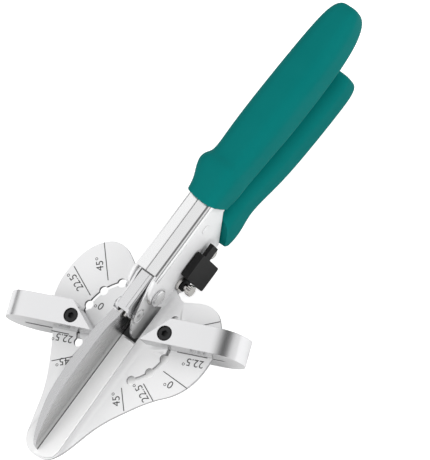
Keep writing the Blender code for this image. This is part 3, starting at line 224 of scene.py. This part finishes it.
def taken_over(node_name, piece_name):
    """Merged copy of a CAD node, turned level so that cuts and edges follow the tool."""
    node = frame["nodes"][node_name]
    piece = node.copy()
    piece.data = node.data.copy()
    piece.name = piece_name
    bpy.context.scene.collection.objects.link(piece)
    piece.parent = None
    piece.matrix_world = rest.inverted()
    activate(piece)
    bpy.ops.object.transform_apply(location=True, rotation=True, scale=True)
    bpy.ops.object.mode_set(mode="EDIT")
    bpy.ops.mesh.select_all(action="SELECT")
    bpy.ops.mesh.remove_doubles(threshold=0.000002)
    bpy.ops.mesh.dissolve_limited(angle_limit=math.radians(0.05))
    bpy.ops.object.mode_set(mode="OBJECT")
    return piece


def bar(low, high):
    """Rectangular bar between two corners."""
    bpy.ops.object.select_all(action="DESELECT")
    middle = [(a + b) / 2 for a, b in zip(low, high)]
    bpy.ops.mesh.primitive_cube_add(size=1.0, location=middle)
    piece = bpy.context.object
    piece.scale = [b - a for a, b in zip(low, high)]
    bpy.ops.object.transform_apply(location=False, rotation=False, scale=True)
    return piece


def pin(centre, axis, radius, length, sides=48):
    """Round bar about a centre, along Y or Z."""
    bpy.ops.object.select_all(action="DESELECT")
    bpy.ops.mesh.primitive_cylinder_add(
        vertices=sides, radius=radius, depth=length, location=centre,
        rotation=(math.pi / 2 if axis == "Y" else 0.0, 0.0, 0.0))
    return bpy.context.object


def joined_by(piece, tool, operation="DIFFERENCE"):
    """Cuts a piece with a tool, or adds the tool to it."""
    activate(piece)
    step = piece.modifiers.new("step", "BOOLEAN")
    step.operation = operation
    step.solver = "EXACT"
    step.object = tool
    bpy.ops.object.modifier_apply(modifier=step.name)
    bpy.data.objects.remove(tool, do_unlink=True)


def put_in_order(piece):
    """Numbers a cut mesh's corners and faces by their places, so that every run ends alike."""
    places = [tuple(vertex.co) for vertex in piece.data.vertices]
    corners = sorted(set(places))
    number = {place: index for index, place in enumerate(corners)}
    faces = []
    for face in piece.data.polygons:
        loop = [number[places[index]] for index in face.vertices]
        start = loop.index(min(loop))
        faces.append(loop[start:] + loop[:start])
    piece.data.clear_geometry()
    piece.data.from_pydata(corners, [], sorted(faces))
    piece.data.validate()


def eased(piece, width, angle=32.0, segments=3):
    """Eases the sharp edges of a finished mesh and shades its broad faces flat."""
    activate(piece)
    bpy.ops.object.shade_smooth()
    ease = piece.modifiers.new("ease", "BEVEL")
    ease.width = width
    ease.segments = segments
    ease.limit_method = "ANGLE"
    ease.angle_limit = math.radians(angle)
    ease.use_clamp_overlap = True
    bpy.ops.object.modifier_apply(modifier=ease.name)
    flat = piece.modifiers.new("flat", "WEIGHTED_NORMAL")
    flat.keep_sharp = True
    bpy.ops.object.modifier_apply(modifier=flat.name)


def lay_in_place(piece, finish=None):
    """Gives a level piece its finish and lays it where the resting tool holds it."""
    if finish:
        piece.data.materials.clear()
        piece.data.materials.append(finish)
    piece.matrix_world = rest @ piece.matrix_world
    activate(piece)
    bpy.ops.object.transform_apply(location=True, rotation=True, scale=True)


satin_plate = metal("satin_plate", (0.87, 0.87, 0.875), 0.38, grain=2600.0, metallic=0.55)
# The walls get a darker, less metallic copy of the table's plating: painted shade on one sheet.
wall_plate_painted_shade = metal("wall_plate_painted_shade", (0.77, 0.77, 0.775), 0.42, grain=2600.0, metallic=0.15)
sheared_edge = metal("sheared_edge", (0.4, 0.4, 0.405), 0.45, grain=2600.0, metallic=0.6)
bright_plate = metal("bright_plate", (0.92, 0.92, 0.925), 0.2, grain=2600.0, wander=0.03)
body = taken_over("body_frame", "folded_body")
channel_top = 0.0247
channel_front = 0.0336
channel_side = 0.0066
past_side = -0.0085
past_front = channel_front - 0.002
grip_mouth = 0.0765

# The top leans down to the right from a scored crease.
crease_y = 0.0006
lean_of_top = math.radians(7.0)
facet = bar((past_front, past_side, channel_top), (grip_mouth, crease_y, channel_top + 0.002))
facet.matrix_world = (
    Matrix.Translation((0.0, crease_y, channel_top)) @ Matrix.Rotation(lean_of_top, 4, "X")
    @ Matrix.Translation((0.0, -crease_y, -channel_top)) @ facet.matrix_world)
joined_by(body, facet)
crease = bar((-0.025, -0.0003, -0.0003), (0.025, 0.0003, 0.0003))
crease.matrix_world = (
    Matrix.Translation((channel_front + 0.0235, crease_y, channel_top + 0.0001))
    @ Matrix.Rotation(math.radians(45.0), 4, "X") @ crease.matrix_world)
joined_by(body, crease)

# The right fold is a round bend.
fold_radius = 0.0028
fold_y = fold_radius - channel_side
fold_z = channel_top - 0.00334
fold = bar((past_front, past_side, fold_z), (grip_mouth, fold_y, channel_top))
bpy.ops.object.select_all(action="DESELECT")
bpy.ops.mesh.primitive_cylinder_add(
    vertices=72, radius=fold_radius, depth=0.06, location=(channel_front + 0.022, fold_y, fold_z),
    rotation=(0.0, math.pi / 2, 0.0))
joined_by(fold, bpy.context.object)
joined_by(body, fold)

boss_place = (0.0635, -channel_side, 0.0152)
boss_radius = 0.0021
boss_length = 0.001
joined_by(body, pin(boss_place, "Y", boss_radius, boss_length), "UNION")
# A concave web joins each wing's root to the wall: a flat blank whose corners are
# drawn to their places one by one, raised to the table's top.
web_low, web_high = 0.003, 0.0044
web_corners = (
    (0.0305, 0.0064), (0.0351, 0.0064), (0.0347, 0.0078), (0.0338, 0.0094),
    (0.0329, 0.0116), (0.0325, 0.0142), (0.0305, 0.0142))
for side in (1, -1):
    bpy.ops.object.select_all(action="DESELECT")
    bpy.ops.mesh.primitive_circle_add(
        vertices=len(web_corners), radius=0.001, fill_type="NGON", location=(0.0, 0.0, 0.0))
    web = bpy.context.object
    for index, (x, out) in enumerate(web_corners):
        bpy.ops.object.mode_set(mode="EDIT")
        bpy.ops.mesh.select_all(action="DESELECT")
        bpy.ops.object.mode_set(mode="OBJECT")
        corner = web.data.vertices[index]
        corner.select = True
        way = Vector((x, side * out, web_low)) - corner.co
        bpy.ops.object.mode_set(mode="EDIT")
        bpy.ops.transform.translate(value=way)
        bpy.ops.object.mode_set(mode="OBJECT")
    bpy.ops.object.mode_set(mode="EDIT")
    bpy.ops.mesh.select_all(action="SELECT")
    bpy.ops.mesh.extrude_region_move(
        TRANSFORM_OT_translate={"value": (0.0, 0.0, web_high - web_low)})
    bpy.ops.mesh.select_all(action="SELECT")
    bpy.ops.mesh.normals_make_consistent(inside=False)
    bpy.ops.object.mode_set(mode="OBJECT")
    joined_by(body, web, "UNION")


def arc_bar(hub, radius, width, height, angle_from, angle_to, side):
    """Curved bar: a small rectangle spun about a fence's centre."""
    bpy.ops.object.select_all(action="DESELECT")
    bpy.ops.mesh.primitive_plane_add(
        size=1.0, location=(0.0, 0.0, 0.0), rotation=(0.0, math.pi / 2, 0.0))
    piece = bpy.context.object
    piece.scale = (height, width, 1.0)
    bpy.ops.object.transform_apply(location=False, rotation=True, scale=True)
    piece.location = (0.0, side * radius, 0.0)
    bpy.ops.object.transform_apply(location=True, rotation=False, scale=False)
    piece.rotation_euler.z = -side * angle_from
    piece.location = hub
    bpy.ops.object.transform_apply(location=True, rotation=True, scale=False)
    bpy.ops.object.mode_set(mode="EDIT")
    bpy.ops.mesh.select_all(action="SELECT")
    bpy.ops.mesh.spin(
        steps=30, angle=side * (angle_to - angle_from), center=hub, axis=(0.0, 0.0, 1.0))
    bpy.ops.mesh.select_all(action="SELECT")
    bpy.ops.mesh.normals_make_consistent(inside=False)
    bpy.ops.object.mode_set(mode="OBJECT")
    return piece


# Each wing has a narrow curved slot about its fence's centre, with five round detents.
# The rough slot of the solid is filled first.
swing_x, swing_y = 0.0073, 0.00035
slot_radius = 0.02295
slot_neck = 0.0016
rough_slot_width = 0.0052
detent_radius = 0.0021
detent_step = 22.5
sheet_middle = 0.0036
sheet_thickness = 0.0016
through_sheet = 0.004
for side in (1, -1):
    hub = Vector((swing_x, -side * swing_y, sheet_middle))
    joined_by(body, arc_bar(
        hub, slot_radius, rough_slot_width, sheet_thickness, math.radians(-51.5),
        math.radians(51.5), side), "UNION")
    joined_by(body, arc_bar(
        hub, slot_radius, slot_neck, through_sheet, math.radians(-45.0), math.radians(45.0), side))
    for step in range(-2, 3):
        angle = math.radians(detent_step * step)
        detent = hub + slot_radius * Vector((math.sin(angle), side * math.cos(angle), 0.0))
        joined_by(body, pin(detent, "Z", detent_radius, through_sheet, sides=40))
put_in_order(body)
activate(body)
bpy.ops.object.mode_set(mode="EDIT")
bpy.ops.mesh.select_all(action="SELECT")
bpy.ops.mesh.remove_doubles(threshold=0.000003)
bpy.ops.mesh.dissolve_limited(angle_limit=math.radians(0.05))
bpy.ops.object.mode_set(mode="OBJECT")
eased(body, 0.00022)
body.data.materials.clear()
for finish in (satin_plate, bright_plate, sheared_edge, wall_plate_painted_shade):
    body.data.materials.append(finish)
rim_low, rim_high = 0.0026, 0.0046
wing_root_y, wing_root_x = 0.0125, 0.003
wall_foot = 0.0053
for face in body.data.polygons:
    x, y, z = face.center
    on_rim = rim_low < z < rim_high and (abs(y) > wing_root_y or x < wing_root_x)
    if on_rim and abs(face.normal.z) < 0.7:
        face.material_index = 2
    # Walls take the darker copy of the plating, which is painted shade.
    elif abs(face.normal.y) > 0.9 and (z > wall_foot or x > channel_front):
        face.material_index = 3
    if x > channel_front and z > fold_z - 0.0003 and face.normal.z > 0.02:
        face.material_index = 1
lay_in_place(body)
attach(body, "frame")
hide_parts("body_frame")


# Anvil strip: a smooth pale land let into the table under the cutting edge,
# held from below by three rivets.
def dress(node_name, finish, rim=0.00015, flat=0.05):
    """Gives a CAD node its finish, and eases its sharp edges with live modifiers."""
    node = frame["nodes"][node_name]
    node.data.materials.clear()
    node.data.materials.append(finish)
    node.data.shade_smooth()
    weld = node.modifiers.new("weld", "WELD")
    weld.merge_threshold = 0.000002
    planes = node.modifiers.new("planes", "DECIMATE")
    planes.decimate_type = "DISSOLVE"
    planes.angle_limit = math.radians(flat)
    if rim:
        roll = node.modifiers.new("rims", "BEVEL")
        roll.width = rim
        roll.segments = 2
        roll.limit_method = "ANGLE"
        roll.angle_limit = math.radians(32.0)
    level = node.modifiers.new("flat", "WEIGHTED_NORMAL")
    level.keep_sharp = True
    return node


anvil_grey = metal("anvil_grey", (0.8, 0.8, 0.8), 0.6, wander=0.05, metallic=0.0)
dress("anvil_strip", anvil_grey)
nickel = metal("nickel", (0.78, 0.76, 0.73), 0.2, wander=0.04)
for index in (1, 2, 3):
    dress(f"anvil_rivet_{index}", nickel)

# Protractor marks: thin black print on both wings, five lines to a side along
# the fences' front faces, and the angles beside them.
print_black = bpy.data.materials.new("print_black")
print_black.use_nodes = True
tree = print_black.node_tree
shader = tree.nodes["Principled BSDF"]
shader.inputs["Roughness"].default_value = 0.55
place = tree.nodes.new("ShaderNodeTexCoord")
noise = tree.nodes.new("ShaderNodeTexNoise")
noise.inputs["Scale"].default_value = 2500.0
ink = tree.nodes.new("ShaderNodeMixRGB")
ink.inputs["Color1"].default_value = (0.02, 0.02, 0.021, 1.0)
ink.inputs["Color2"].default_value = (0.08, 0.08, 0.08, 1.0)
tree.links.new(place.outputs["Object"], noise.inputs["Vector"])
tree.links.new(noise.outputs["Fac"], ink.inputs["Fac"])
tree.links.new(ink.outputs["Color"], shader.inputs["Base Color"])

table_top = sheet_middle + sheet_thickness / 2
ink_lift = 0.00005
stroke_width = 0.0004
figure_size = 0.0049
figures = {
    "left": (("45°", 24.9, 30.2, 42.0), ("22.5°", 12.4, 34.9, 70.0), ("0°", 9.9, 18.3, 90.0),
             ("22.5°", -11.5, 23.5, 112.5), ("45°", -20.0, 16.6, 130.0)),
    "right": (("45°", -19.2, -15.6, 42.0), ("22.5°", -10.2, -23.1, 67.5), ("0°", -0.2, -31.4, 90.0),
              ("22.5°", 13.3, -34.8, 112.5), ("45°", 26.0, -32.0, 135.0))}
ends = (0.0362, 0.0352, 0.0402, 0.0408, 0.0435)
for side, label, offset, starts in (
        (1, "left", 0.0062, (0.0255, 0.0265, 0.0265, 0.0245, 0.0255)),
        (-1, "right", 0.00465, (0.0255, 0.0258, 0.0262, 0.0262, 0.0262))):
    marks = []
    hub = Vector((swing_x, -side * swing_y, table_top + ink_lift))
    for step, (near, far) in enumerate(zip(starts, ends)):
        angle = math.radians(detent_step * (step - 2))
        outward = Vector((math.sin(angle), side * math.cos(angle), 0.0))
        rearward = Vector((math.cos(angle), -side * math.sin(angle), 0.0))
        bpy.ops.object.select_all(action="DESELECT")
        bpy.ops.mesh.primitive_plane_add(
            size=1.0, location=hub + outward * (near + far) / 2 - rearward * offset)
        stroke = bpy.context.object
        stroke.scale = (far - near, stroke_width, 1.0)
        stroke.rotation_euler.z = math.atan2(outward.y, outward.x)
        marks.append(stroke)
    for word, x, y, heading in figures[label]:
        bpy.ops.object.select_all(action="DESELECT")
        bpy.ops.object.text_add(
            location=(x / 1000, y / 1000, table_top + ink_lift),
            rotation=(0.0, 0.0, math.radians(heading)))
        text = bpy.context.object
        text.data.body = word
        text.data.size = figure_size
        text.data.align_x = "CENTER"
        text.data.align_y = "CENTER"
        bpy.ops.object.convert(target="MESH")
        marks.append(bpy.context.object)
    bpy.ops.object.select_all(action="DESELECT")
    for mark in marks:
        mark.select_set(True)
    bpy.context.view_layer.objects.active = marks[0]
    bpy.ops.object.join()
    scale_print = bpy.context.object
    scale_print.name = f"{label}_scale_print"
    lay_in_place(scale_print, print_black)
    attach(scale_print, "frame")

# Lever: two plated steel plates joined by a web, with the blade clamped between
# them in front. Their right flanks are less metallic and carry painted shade, darker
# towards the table. The blade's screw and the pivot bolt get the same painted shade.
flank_steel_painted_shade = metal("flank_steel_painted_shade", (0.86, 0.86, 0.87), 0.2, wander=0.04)
tree = flank_steel_painted_shade.node_tree
place = tree.nodes.new("ShaderNodeTexCoord")
facing = tree.nodes.new("ShaderNodeSeparateXYZ")
height = tree.nodes.new("ShaderNodeSeparateXYZ")
tree.links.new(place.outputs["Normal"], facing.inputs[0])
tree.links.new(place.outputs["Object"], height.inputs[0])
flank = tree.nodes.new("ShaderNodeMapRange")
flank.inputs["From Min"].default_value = -0.9
flank.inputs["From Max"].default_value = -0.97
tree.links.new(facing.outputs["Y"], flank.inputs["Value"])
# Painted shade: the right flanks' colour grows darker towards the table.
painted_flank_shade = tree.nodes.new("ShaderNodeMapRange")
painted_flank_shade.inputs["From Min"].default_value = 0.014
painted_flank_shade.inputs["From Max"].default_value = 0.032
painted_flank_shade.inputs["To Min"].default_value = 0.42
painted_flank_shade.inputs["To Max"].default_value = 0.8
tree.links.new(height.outputs["Z"], painted_flank_shade.inputs["Value"])
mixed = tree.nodes.new("ShaderNodeMixRGB")
flank_metal = tree.nodes.new("ShaderNodeMapRange")
flank_metal.inputs["To Min"].default_value = 1.0
flank_metal.inputs["To Max"].default_value = 0.5
tree.links.new(flank.outputs["Result"], flank_metal.inputs["Value"])
tree.links.new(flank_metal.outputs["Result"], tree.nodes["Principled BSDF"].inputs["Metallic"])
tree.links.new(flank.outputs["Result"], mixed.inputs["Fac"])
tree.links.new(tree.nodes["tint"].outputs["Color"], mixed.inputs["Color1"])
tree.links.new(painted_flank_shade.outputs["Result"], mixed.inputs["Color2"])
tree.links.new(mixed.outputs["Color"], tree.nodes["Principled BSDF"].inputs["Base Color"])
dress("lever_frame", flank_steel_painted_shade)
for name in ("blade_screw", "pivot_bolt"):
    dress(name, flank_steel_painted_shade, rim=0.0)

# Blade holder: a bright cap folded from thin sheet. It straddles the blade's tail,
# ends just before the channel, and has a seam scored along its top.
holder = taken_over("blade_holder", "holder_cap")
gap_to_channel = 0.0007
seam_low, seam_high = (0.005, -0.0017, 0.0226), (0.04, -0.0014, 0.024)
activate(holder)
bpy.ops.object.mode_set(mode="EDIT")
bpy.ops.mesh.select_all(action="SELECT")
bpy.ops.mesh.bisect(
    plane_co=(channel_front - gap_to_channel, 0.0, 0.0), plane_no=(1.0, 0.0, 0.0), use_fill=True,
    clear_outer=True)
bpy.ops.object.mode_set(mode="OBJECT")
joined_by(holder, bar(seam_low, seam_high))
eased(holder, 0.00015)
lay_in_place(holder, metal("holder_steel", (0.74, 0.74, 0.75), 0.2, wander=0.04))
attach(holder, "lever")
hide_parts("blade_holder")

# Small parts of the lever: two bright nuts on its left side, a nickel-plated bushing,
# blade spacers and lock pin, and the coiled return spring under the channel.
bright_steel = metal("bright_steel", (0.86, 0.86, 0.87), 0.16, wander=0.04)
for name in ("blade_nut", "pivot_nut"):
    dress(name, bright_steel, rim=0.0)
for name in ("pivot_bushing", "left_blade_spacer", "right_blade_spacer", "lock_pin"):
    dress(name, nickel)
dress("return_spring", nickel, rim=0.0)

# Blade: hardened steel with a thick back, ground hollow on its right face down
# to the cutting edge and brushed lengthwise on its back. Painted bands on the right face stand for
# the hollow's reflections, and a painted contact shadow is a thin dark line along the cutting edge.
blade_steel = metal("blade_steel", (0.62, 0.62, 0.63), 0.26, grain=900.0,
                    stretch=(0.12, 1.0, 1.0), wander=0.08, shade=0.12)
tree = blade_steel.node_tree
shader = tree.nodes["Principled BSDF"]
place = tree.nodes.new("ShaderNodeTexCoord")
facing = tree.nodes.new("ShaderNodeSeparateXYZ")
height = tree.nodes.new("ShaderNodeSeparateXYZ")
tree.links.new(place.outputs["Normal"], facing.inputs[0])
tree.links.new(place.outputs["Object"], height.inputs[0])
right_face = tree.nodes.new("ShaderNodeMapRange")
right_face.inputs["From Min"].default_value = -0.45
right_face.inputs["From Max"].default_value = -0.7
tree.links.new(facing.outputs["Y"], right_face.inputs["Value"])
level_tilt = tree.nodes.new("ShaderNodeMath")
level_tilt.operation = "MULTIPLY_ADD"
level_tilt.inputs[1].default_value = tool_z.x / tool_z.z
tree.links.new(height.outputs["X"], level_tilt.inputs[0])
tree.links.new(height.outputs["Z"], level_tilt.inputs[2])
edge_point = rest @ Vector((0.0, 0.0, 0.0068))
edge_height = edge_point.z + edge_point.x * tool_z.x / tool_z.z
painted_band_height = 0.018
climb = tree.nodes.new("ShaderNodeMapRange")
climb.inputs["From Min"].default_value = edge_height
climb.inputs["From Max"].default_value = edge_height + painted_band_height
tree.links.new(level_tilt.outputs[0], climb.inputs["Value"])
# Painted reflections of the hollow grind, and a painted contact shadow at the cutting edge.
painted_grind_reflections = tree.nodes.new("ShaderNodeValToRGB")
tree.links.new(climb.outputs["Result"], painted_grind_reflections.inputs["Fac"])
painted_grind_reflections.color_ramp.elements[0].position = 0.0
painted_grind_reflections.color_ramp.elements[0].color = (0.1, 0.1, 0.1, 1.0)
painted_grind_reflections.color_ramp.elements[1].position = 1.0
painted_grind_reflections.color_ramp.elements[1].color = (0.62, 0.62, 0.63, 1.0)
for position, level in (
        (0.05, 0.06), (0.08, 0.62), (0.15, 0.6), (0.24, 0.42), (0.6, 0.5), (0.8, 0.56)):
    band = painted_grind_reflections.color_ramp.elements.new(position)
    band.color = (level, level, level, 1.0)
mixed = tree.nodes.new("ShaderNodeMixRGB")
tree.links.new(right_face.outputs["Result"], mixed.inputs["Fac"])
tree.links.new(tree.nodes["tint"].outputs["Color"], mixed.inputs["Color1"])
tree.links.new(painted_grind_reflections.outputs["Color"], mixed.inputs["Color2"])
tree.links.new(mixed.outputs["Color"], shader.inputs["Base Color"])
dress("blade", blade_steel, rim=0.0002)

# Fences: lengths of satin aluminium extrusion that straddle the table, their sawn
# sides painted darker as painted shade, each clamped by a black socket screw and a nut.
aluminium = metal("aluminium", (0.84, 0.84, 0.85), 0.24, grain=1800.0, stretch=(1.0, 1.0, 0.3),
                  wander=0.05)
tree = aluminium.node_tree
place = tree.nodes.new("ShaderNodeTexCoord")
sawn_way = tree.nodes.new("ShaderNodeVectorMath")
sawn_way.operation = "DOT_PRODUCT"
fence_turn = math.radians(detent_step)
sawn_way.inputs[1].default_value = tool_x * math.cos(fence_turn) + tool_y * math.sin(fence_turn)
sawn_side = tree.nodes.new("ShaderNodeMath")
sawn_side.operation = "ABSOLUTE"
painted_end_shade = tree.nodes.new("ShaderNodeMapRange")
painted_end_shade.inputs["From Min"].default_value = 0.93
painted_end_shade.inputs["From Max"].default_value = 0.98
tree.links.new(place.outputs["Normal"], sawn_way.inputs[0])
tree.links.new(sawn_way.outputs["Value"], sawn_side.inputs[0])
tree.links.new(sawn_side.outputs[0], painted_end_shade.inputs["Value"])
# Painted shade: the sawn sides take a darker colour.
mixed = tree.nodes.new("ShaderNodeMixRGB")
mixed.inputs["Color2"].default_value = (0.52, 0.52, 0.525, 1.0)
tree.links.new(painted_end_shade.outputs["Result"], mixed.inputs["Fac"])
tree.links.new(tree.nodes["tint"].outputs["Color"], mixed.inputs["Color1"])
tree.links.new(mixed.outputs["Color"], tree.nodes["Principled BSDF"].inputs["Base Color"])
for name in ("left_fence", "right_fence"):
    dress(name, aluminium, rim=0.00025)
black_oxide = metal("black_oxide", (0.012, 0.012, 0.013), 0.5, metallic=0.2)
for name in ("left_fence_screw", "right_fence_screw", "left_fence_nut", "right_fence_nut"):
    dress(name, black_oxide, rim=0.0001)


# Latch: a moulded black block on a thin ear, turning on a nickel-plated knurled
# screw that holds a spacer against the right wall.
def moulded(name, dark, light, roughness, grain, depth, specular=0.5):
    """Moulded plastic with a fine cast texture and slightly uneven colour."""
    finish = bpy.data.materials.new(name)
    finish.use_nodes = True
    tree = finish.node_tree
    shader = tree.nodes["Principled BSDF"]
    shader.inputs["Roughness"].default_value = roughness
    shader.inputs["Specular IOR Level"].default_value = specular
    place = tree.nodes.new("ShaderNodeTexCoord")
    cast = tree.nodes.new("ShaderNodeTexNoise")
    cast.inputs["Scale"].default_value = grain
    cast.inputs["Detail"].default_value = 3.0
    cloud = tree.nodes.new("ShaderNodeTexNoise")
    cloud.inputs["Scale"].default_value = 60.0
    tree.links.new(place.outputs["Object"], cast.inputs["Vector"])
    tree.links.new(place.outputs["Object"], cloud.inputs["Vector"])
    tint = tree.nodes.new("ShaderNodeMixRGB")
    tint.inputs["Color1"].default_value = (*dark, 1.0)
    tint.inputs["Color2"].default_value = (*light, 1.0)
    tree.links.new(cloud.outputs["Fac"], tint.inputs["Fac"])
    tree.links.new(tint.outputs["Color"], shader.inputs["Base Color"])
    bump = tree.nodes.new("ShaderNodeBump")
    bump.inputs["Strength"].default_value = 0.6
    bump.inputs["Distance"].default_value = depth
    tree.links.new(cast.outputs["Fac"], bump.inputs["Height"])
    tree.links.new(bump.outputs["Normal"], shader.inputs["Normal"])
    return finish


latch_x, latch_z = 0.0383, 0.0034
block_near, block_far = -0.0072, -0.011
block_back, block_low, block_high = latch_x + 0.0159, -0.011, 0.0097
block_corner = 0.0011
latch = bar((latch_x + 0.0032, block_far, block_low), (block_back, block_near, block_high))
activate(latch)
bpy.ops.object.mode_set(mode="EDIT")
bpy.ops.mesh.select_mode(type="EDGE")
bpy.ops.mesh.select_all(action="DESELECT")
bpy.ops.object.mode_set(mode="OBJECT")
for edge in latch.data.edges:
    a, b = (latch.data.vertices[index].co for index in edge.vertices)
    edge.select = abs(a.y - b.y) > 0.001
bpy.ops.object.mode_set(mode="EDIT")
bpy.ops.mesh.bevel(offset=block_corner, segments=5, affect="EDGES")
bpy.ops.mesh.select_mode(type="VERT")
bpy.ops.object.mode_set(mode="OBJECT")

# A finger tab stands behind the block, and a thin ear in front takes the screw. The
# block's inner corner is cut back to pass the lock pin's head.
ear_near, ear_far, ear_middle = -0.0087, -0.0097, -0.0092
ear_half_height, ear_radius = 0.0023, 0.0024
screw_hole_radius = 0.0018
tab = bar((latch_x + 0.015, block_far + 0.0002, 0.0013), (latch_x + 0.0221, -0.0088, 0.0073))
joined_by(latch, tab, "UNION")
ear = bar((latch_x, ear_far, latch_z - ear_half_height),
          (latch_x + 0.004, ear_near, latch_z + ear_half_height))
joined_by(latch, ear, "UNION")
joined_by(latch, pin((latch_x, ear_middle, latch_z), "Y", ear_radius, ear_near - ear_far), "UNION")
joined_by(latch, pin((latch_x, ear_middle, latch_z), "Y", screw_hole_radius, 0.01))
joined_by(latch, bar((latch_x + 0.011, -0.0088, -0.012), (latch_x + 0.017, -0.006, -0.0035)))
latch.name = "latch_plate"
eased(latch, 0.0004)
black_plastic = moulded(
    "black_plastic", (0.006, 0.006, 0.006), (0.01, 0.01, 0.01), 0.5, 1600.0, 0.00003, 0.18)
lay_in_place(latch, black_plastic)
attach(latch, "latch")
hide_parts("latch")
dress("latch_screw", nickel, rim=0.0001)
dress("latch_spacer", nickel)


# Grips: thick sleeves of matte teal plastic, moulded and pushed over the two tangs.
# The upper one swells to a collar behind its mouth, and both close to a round end.
def sleeve(name, stations):
    """Rounded bar pulled through its stations: place, width, depth, height and shift, in mm."""
    x, width, depth, height, shift = [value / 1000 for value in (*stations[0], 0.0)[:5]]
    bpy.ops.object.select_all(action="DESELECT")
    bpy.ops.mesh.primitive_plane_add(
        size=1.0, location=(x, 0.0, height), rotation=(0.0, math.pi / 2, 0.0))
    piece = bpy.context.object
    piece.name = name
    piece.scale = (depth, width, 1.0)
    bpy.ops.object.transform_apply(location=True, rotation=True, scale=True)
    bpy.ops.object.mode_set(mode="EDIT")
    bpy.ops.mesh.select_all(action="SELECT")
    corner_share = 0.34
    bpy.ops.mesh.bevel(offset=corner_share * width, segments=4, affect="VERTICES")
    for station in stations[1:]:
        next_x, next_width, next_depth, next_height, next_shift = [
            value / 1000 for value in (*station, 0.0)[:5]]
        bpy.ops.mesh.extrude_region_move(TRANSFORM_OT_translate={
            "value": (next_x - x, next_shift - shift, next_height - height)})
        bpy.ops.transform.resize(
            value=(1.0, next_width / width, next_depth / depth),
            center_override=(next_x, next_shift, next_height))
        x, width, depth, height, shift = next_x, next_width, next_depth, next_height, next_shift
    bpy.ops.mesh.select_all(action="SELECT")
    bpy.ops.mesh.normals_make_consistent(inside=False)
    bpy.ops.object.mode_set(mode="OBJECT")
    smooth = piece.modifiers.new("smooth", "SUBSURF")
    smooth.levels = 2
    smooth.render_levels = 2
    bpy.ops.object.modifier_apply(modifier=smooth.name)
    return piece


def trimmed(piece, place, facing):
    """Cuts a sleeve's mouth along a plane and closes it."""
    activate(piece)
    bpy.ops.object.mode_set(mode="EDIT")
    bpy.ops.mesh.select_all(action="SELECT")
    bpy.ops.mesh.bisect(plane_co=place, plane_no=facing, use_fill=True, clear_inner=True)
    bpy.ops.object.mode_set(mode="OBJECT")


teal = moulded("teal_grip", (0.0015, 0.134, 0.127), (0.003, 0.15, 0.143), 0.5, 900.0, 0.00004, 0.02)
upper = sleeve("upper_sleeve", (
    (66.0, 15.8, 18.0, 18.3), (71.4, 16.5, 18.5, 18.5), (77.0, 17.4, 19.4, 18.8),
    (80.4, 19.0, 20.9, 19.2, 0.1), (83.6, 20.8, 22.3, 19.7, 0.5), (87.0, 21.9, 22.8, 19.9, 0.9),
    (90.2, 21.6, 22.4, 19.6, 0.8), (92.4, 20.0, 21.2, 18.7, 0.1), (94.6, 19.3, 20.8, 18.2, -0.2),
    (100.0, 19.6, 21.1, 17.6, -0.2), (106.4, 20.1, 21.6, 17.0), (117.3, 20.8, 22.6, 15.8),
    (131.5, 20.9, 22.7, 14.7), (152.5, 20.3, 22.2, 13.3), (165.0, 18.9, 20.8, 13.1),
    (172.6, 16.8, 19.0, 13.6), (177.6, 13.8, 15.9, 14.1), (180.0, 10.2, 11.8, 14.5),
    (180.9, 6.4, 7.4, 14.7)))
upper_mouth, upper_mouth_facing = (0.0725, 0.0, 0.026), (0.945, -0.08, 0.318)
trimmed(upper, upper_mouth, upper_mouth_facing)
eased(upper, 0.0008, angle=50.0, segments=4)
lay_in_place(upper, teal)
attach(upper, "frame")
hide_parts("upper_grip")
lower = sleeve("lower_sleeve", (
    (57.0, 17.0, 19.0, -0.4), (61.2, 18.6, 20.6, -1.3), (65.2, 19.6, 21.2, -2.3),
    (70.0, 20.0, 21.6, -3.2), (75.5, 19.2, 20.8, -3.6), (81.6, 17.6, 18.6, -3.7),
    (89.0, 17.9, 19.0, -4.9), (96.2, 19.1, 19.7, -6.4), (108.1, 20.2, 20.1, -9.1),
    (128.8, 20.4, 20.2, -11.6), (143.1, 20.0, 19.8, -13.2), (150.4, 19.6, 19.4, -14.0),
    (155.0, 18.6, 18.2, -14.2), (157.2, 16.4, 15.6, -14.3), (158.0, 13.0, 12.0, -14.4)))
lower_mouth, lower_mouth_facing = (0.0634, 0.0, -0.0054), (0.808, 0.0, -0.589)
lower_chin, lower_chin_facing = (0.0636, 0.0, -0.0058), (0.9, 0.0, 0.43)
trimmed(lower, lower_mouth, lower_mouth_facing)
trimmed(lower, lower_chin, lower_chin_facing)
eased(lower, 0.0016, angle=45.0, segments=5)
lay_in_place(lower, teal)
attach(lower, "lever")
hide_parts("lower_grip")
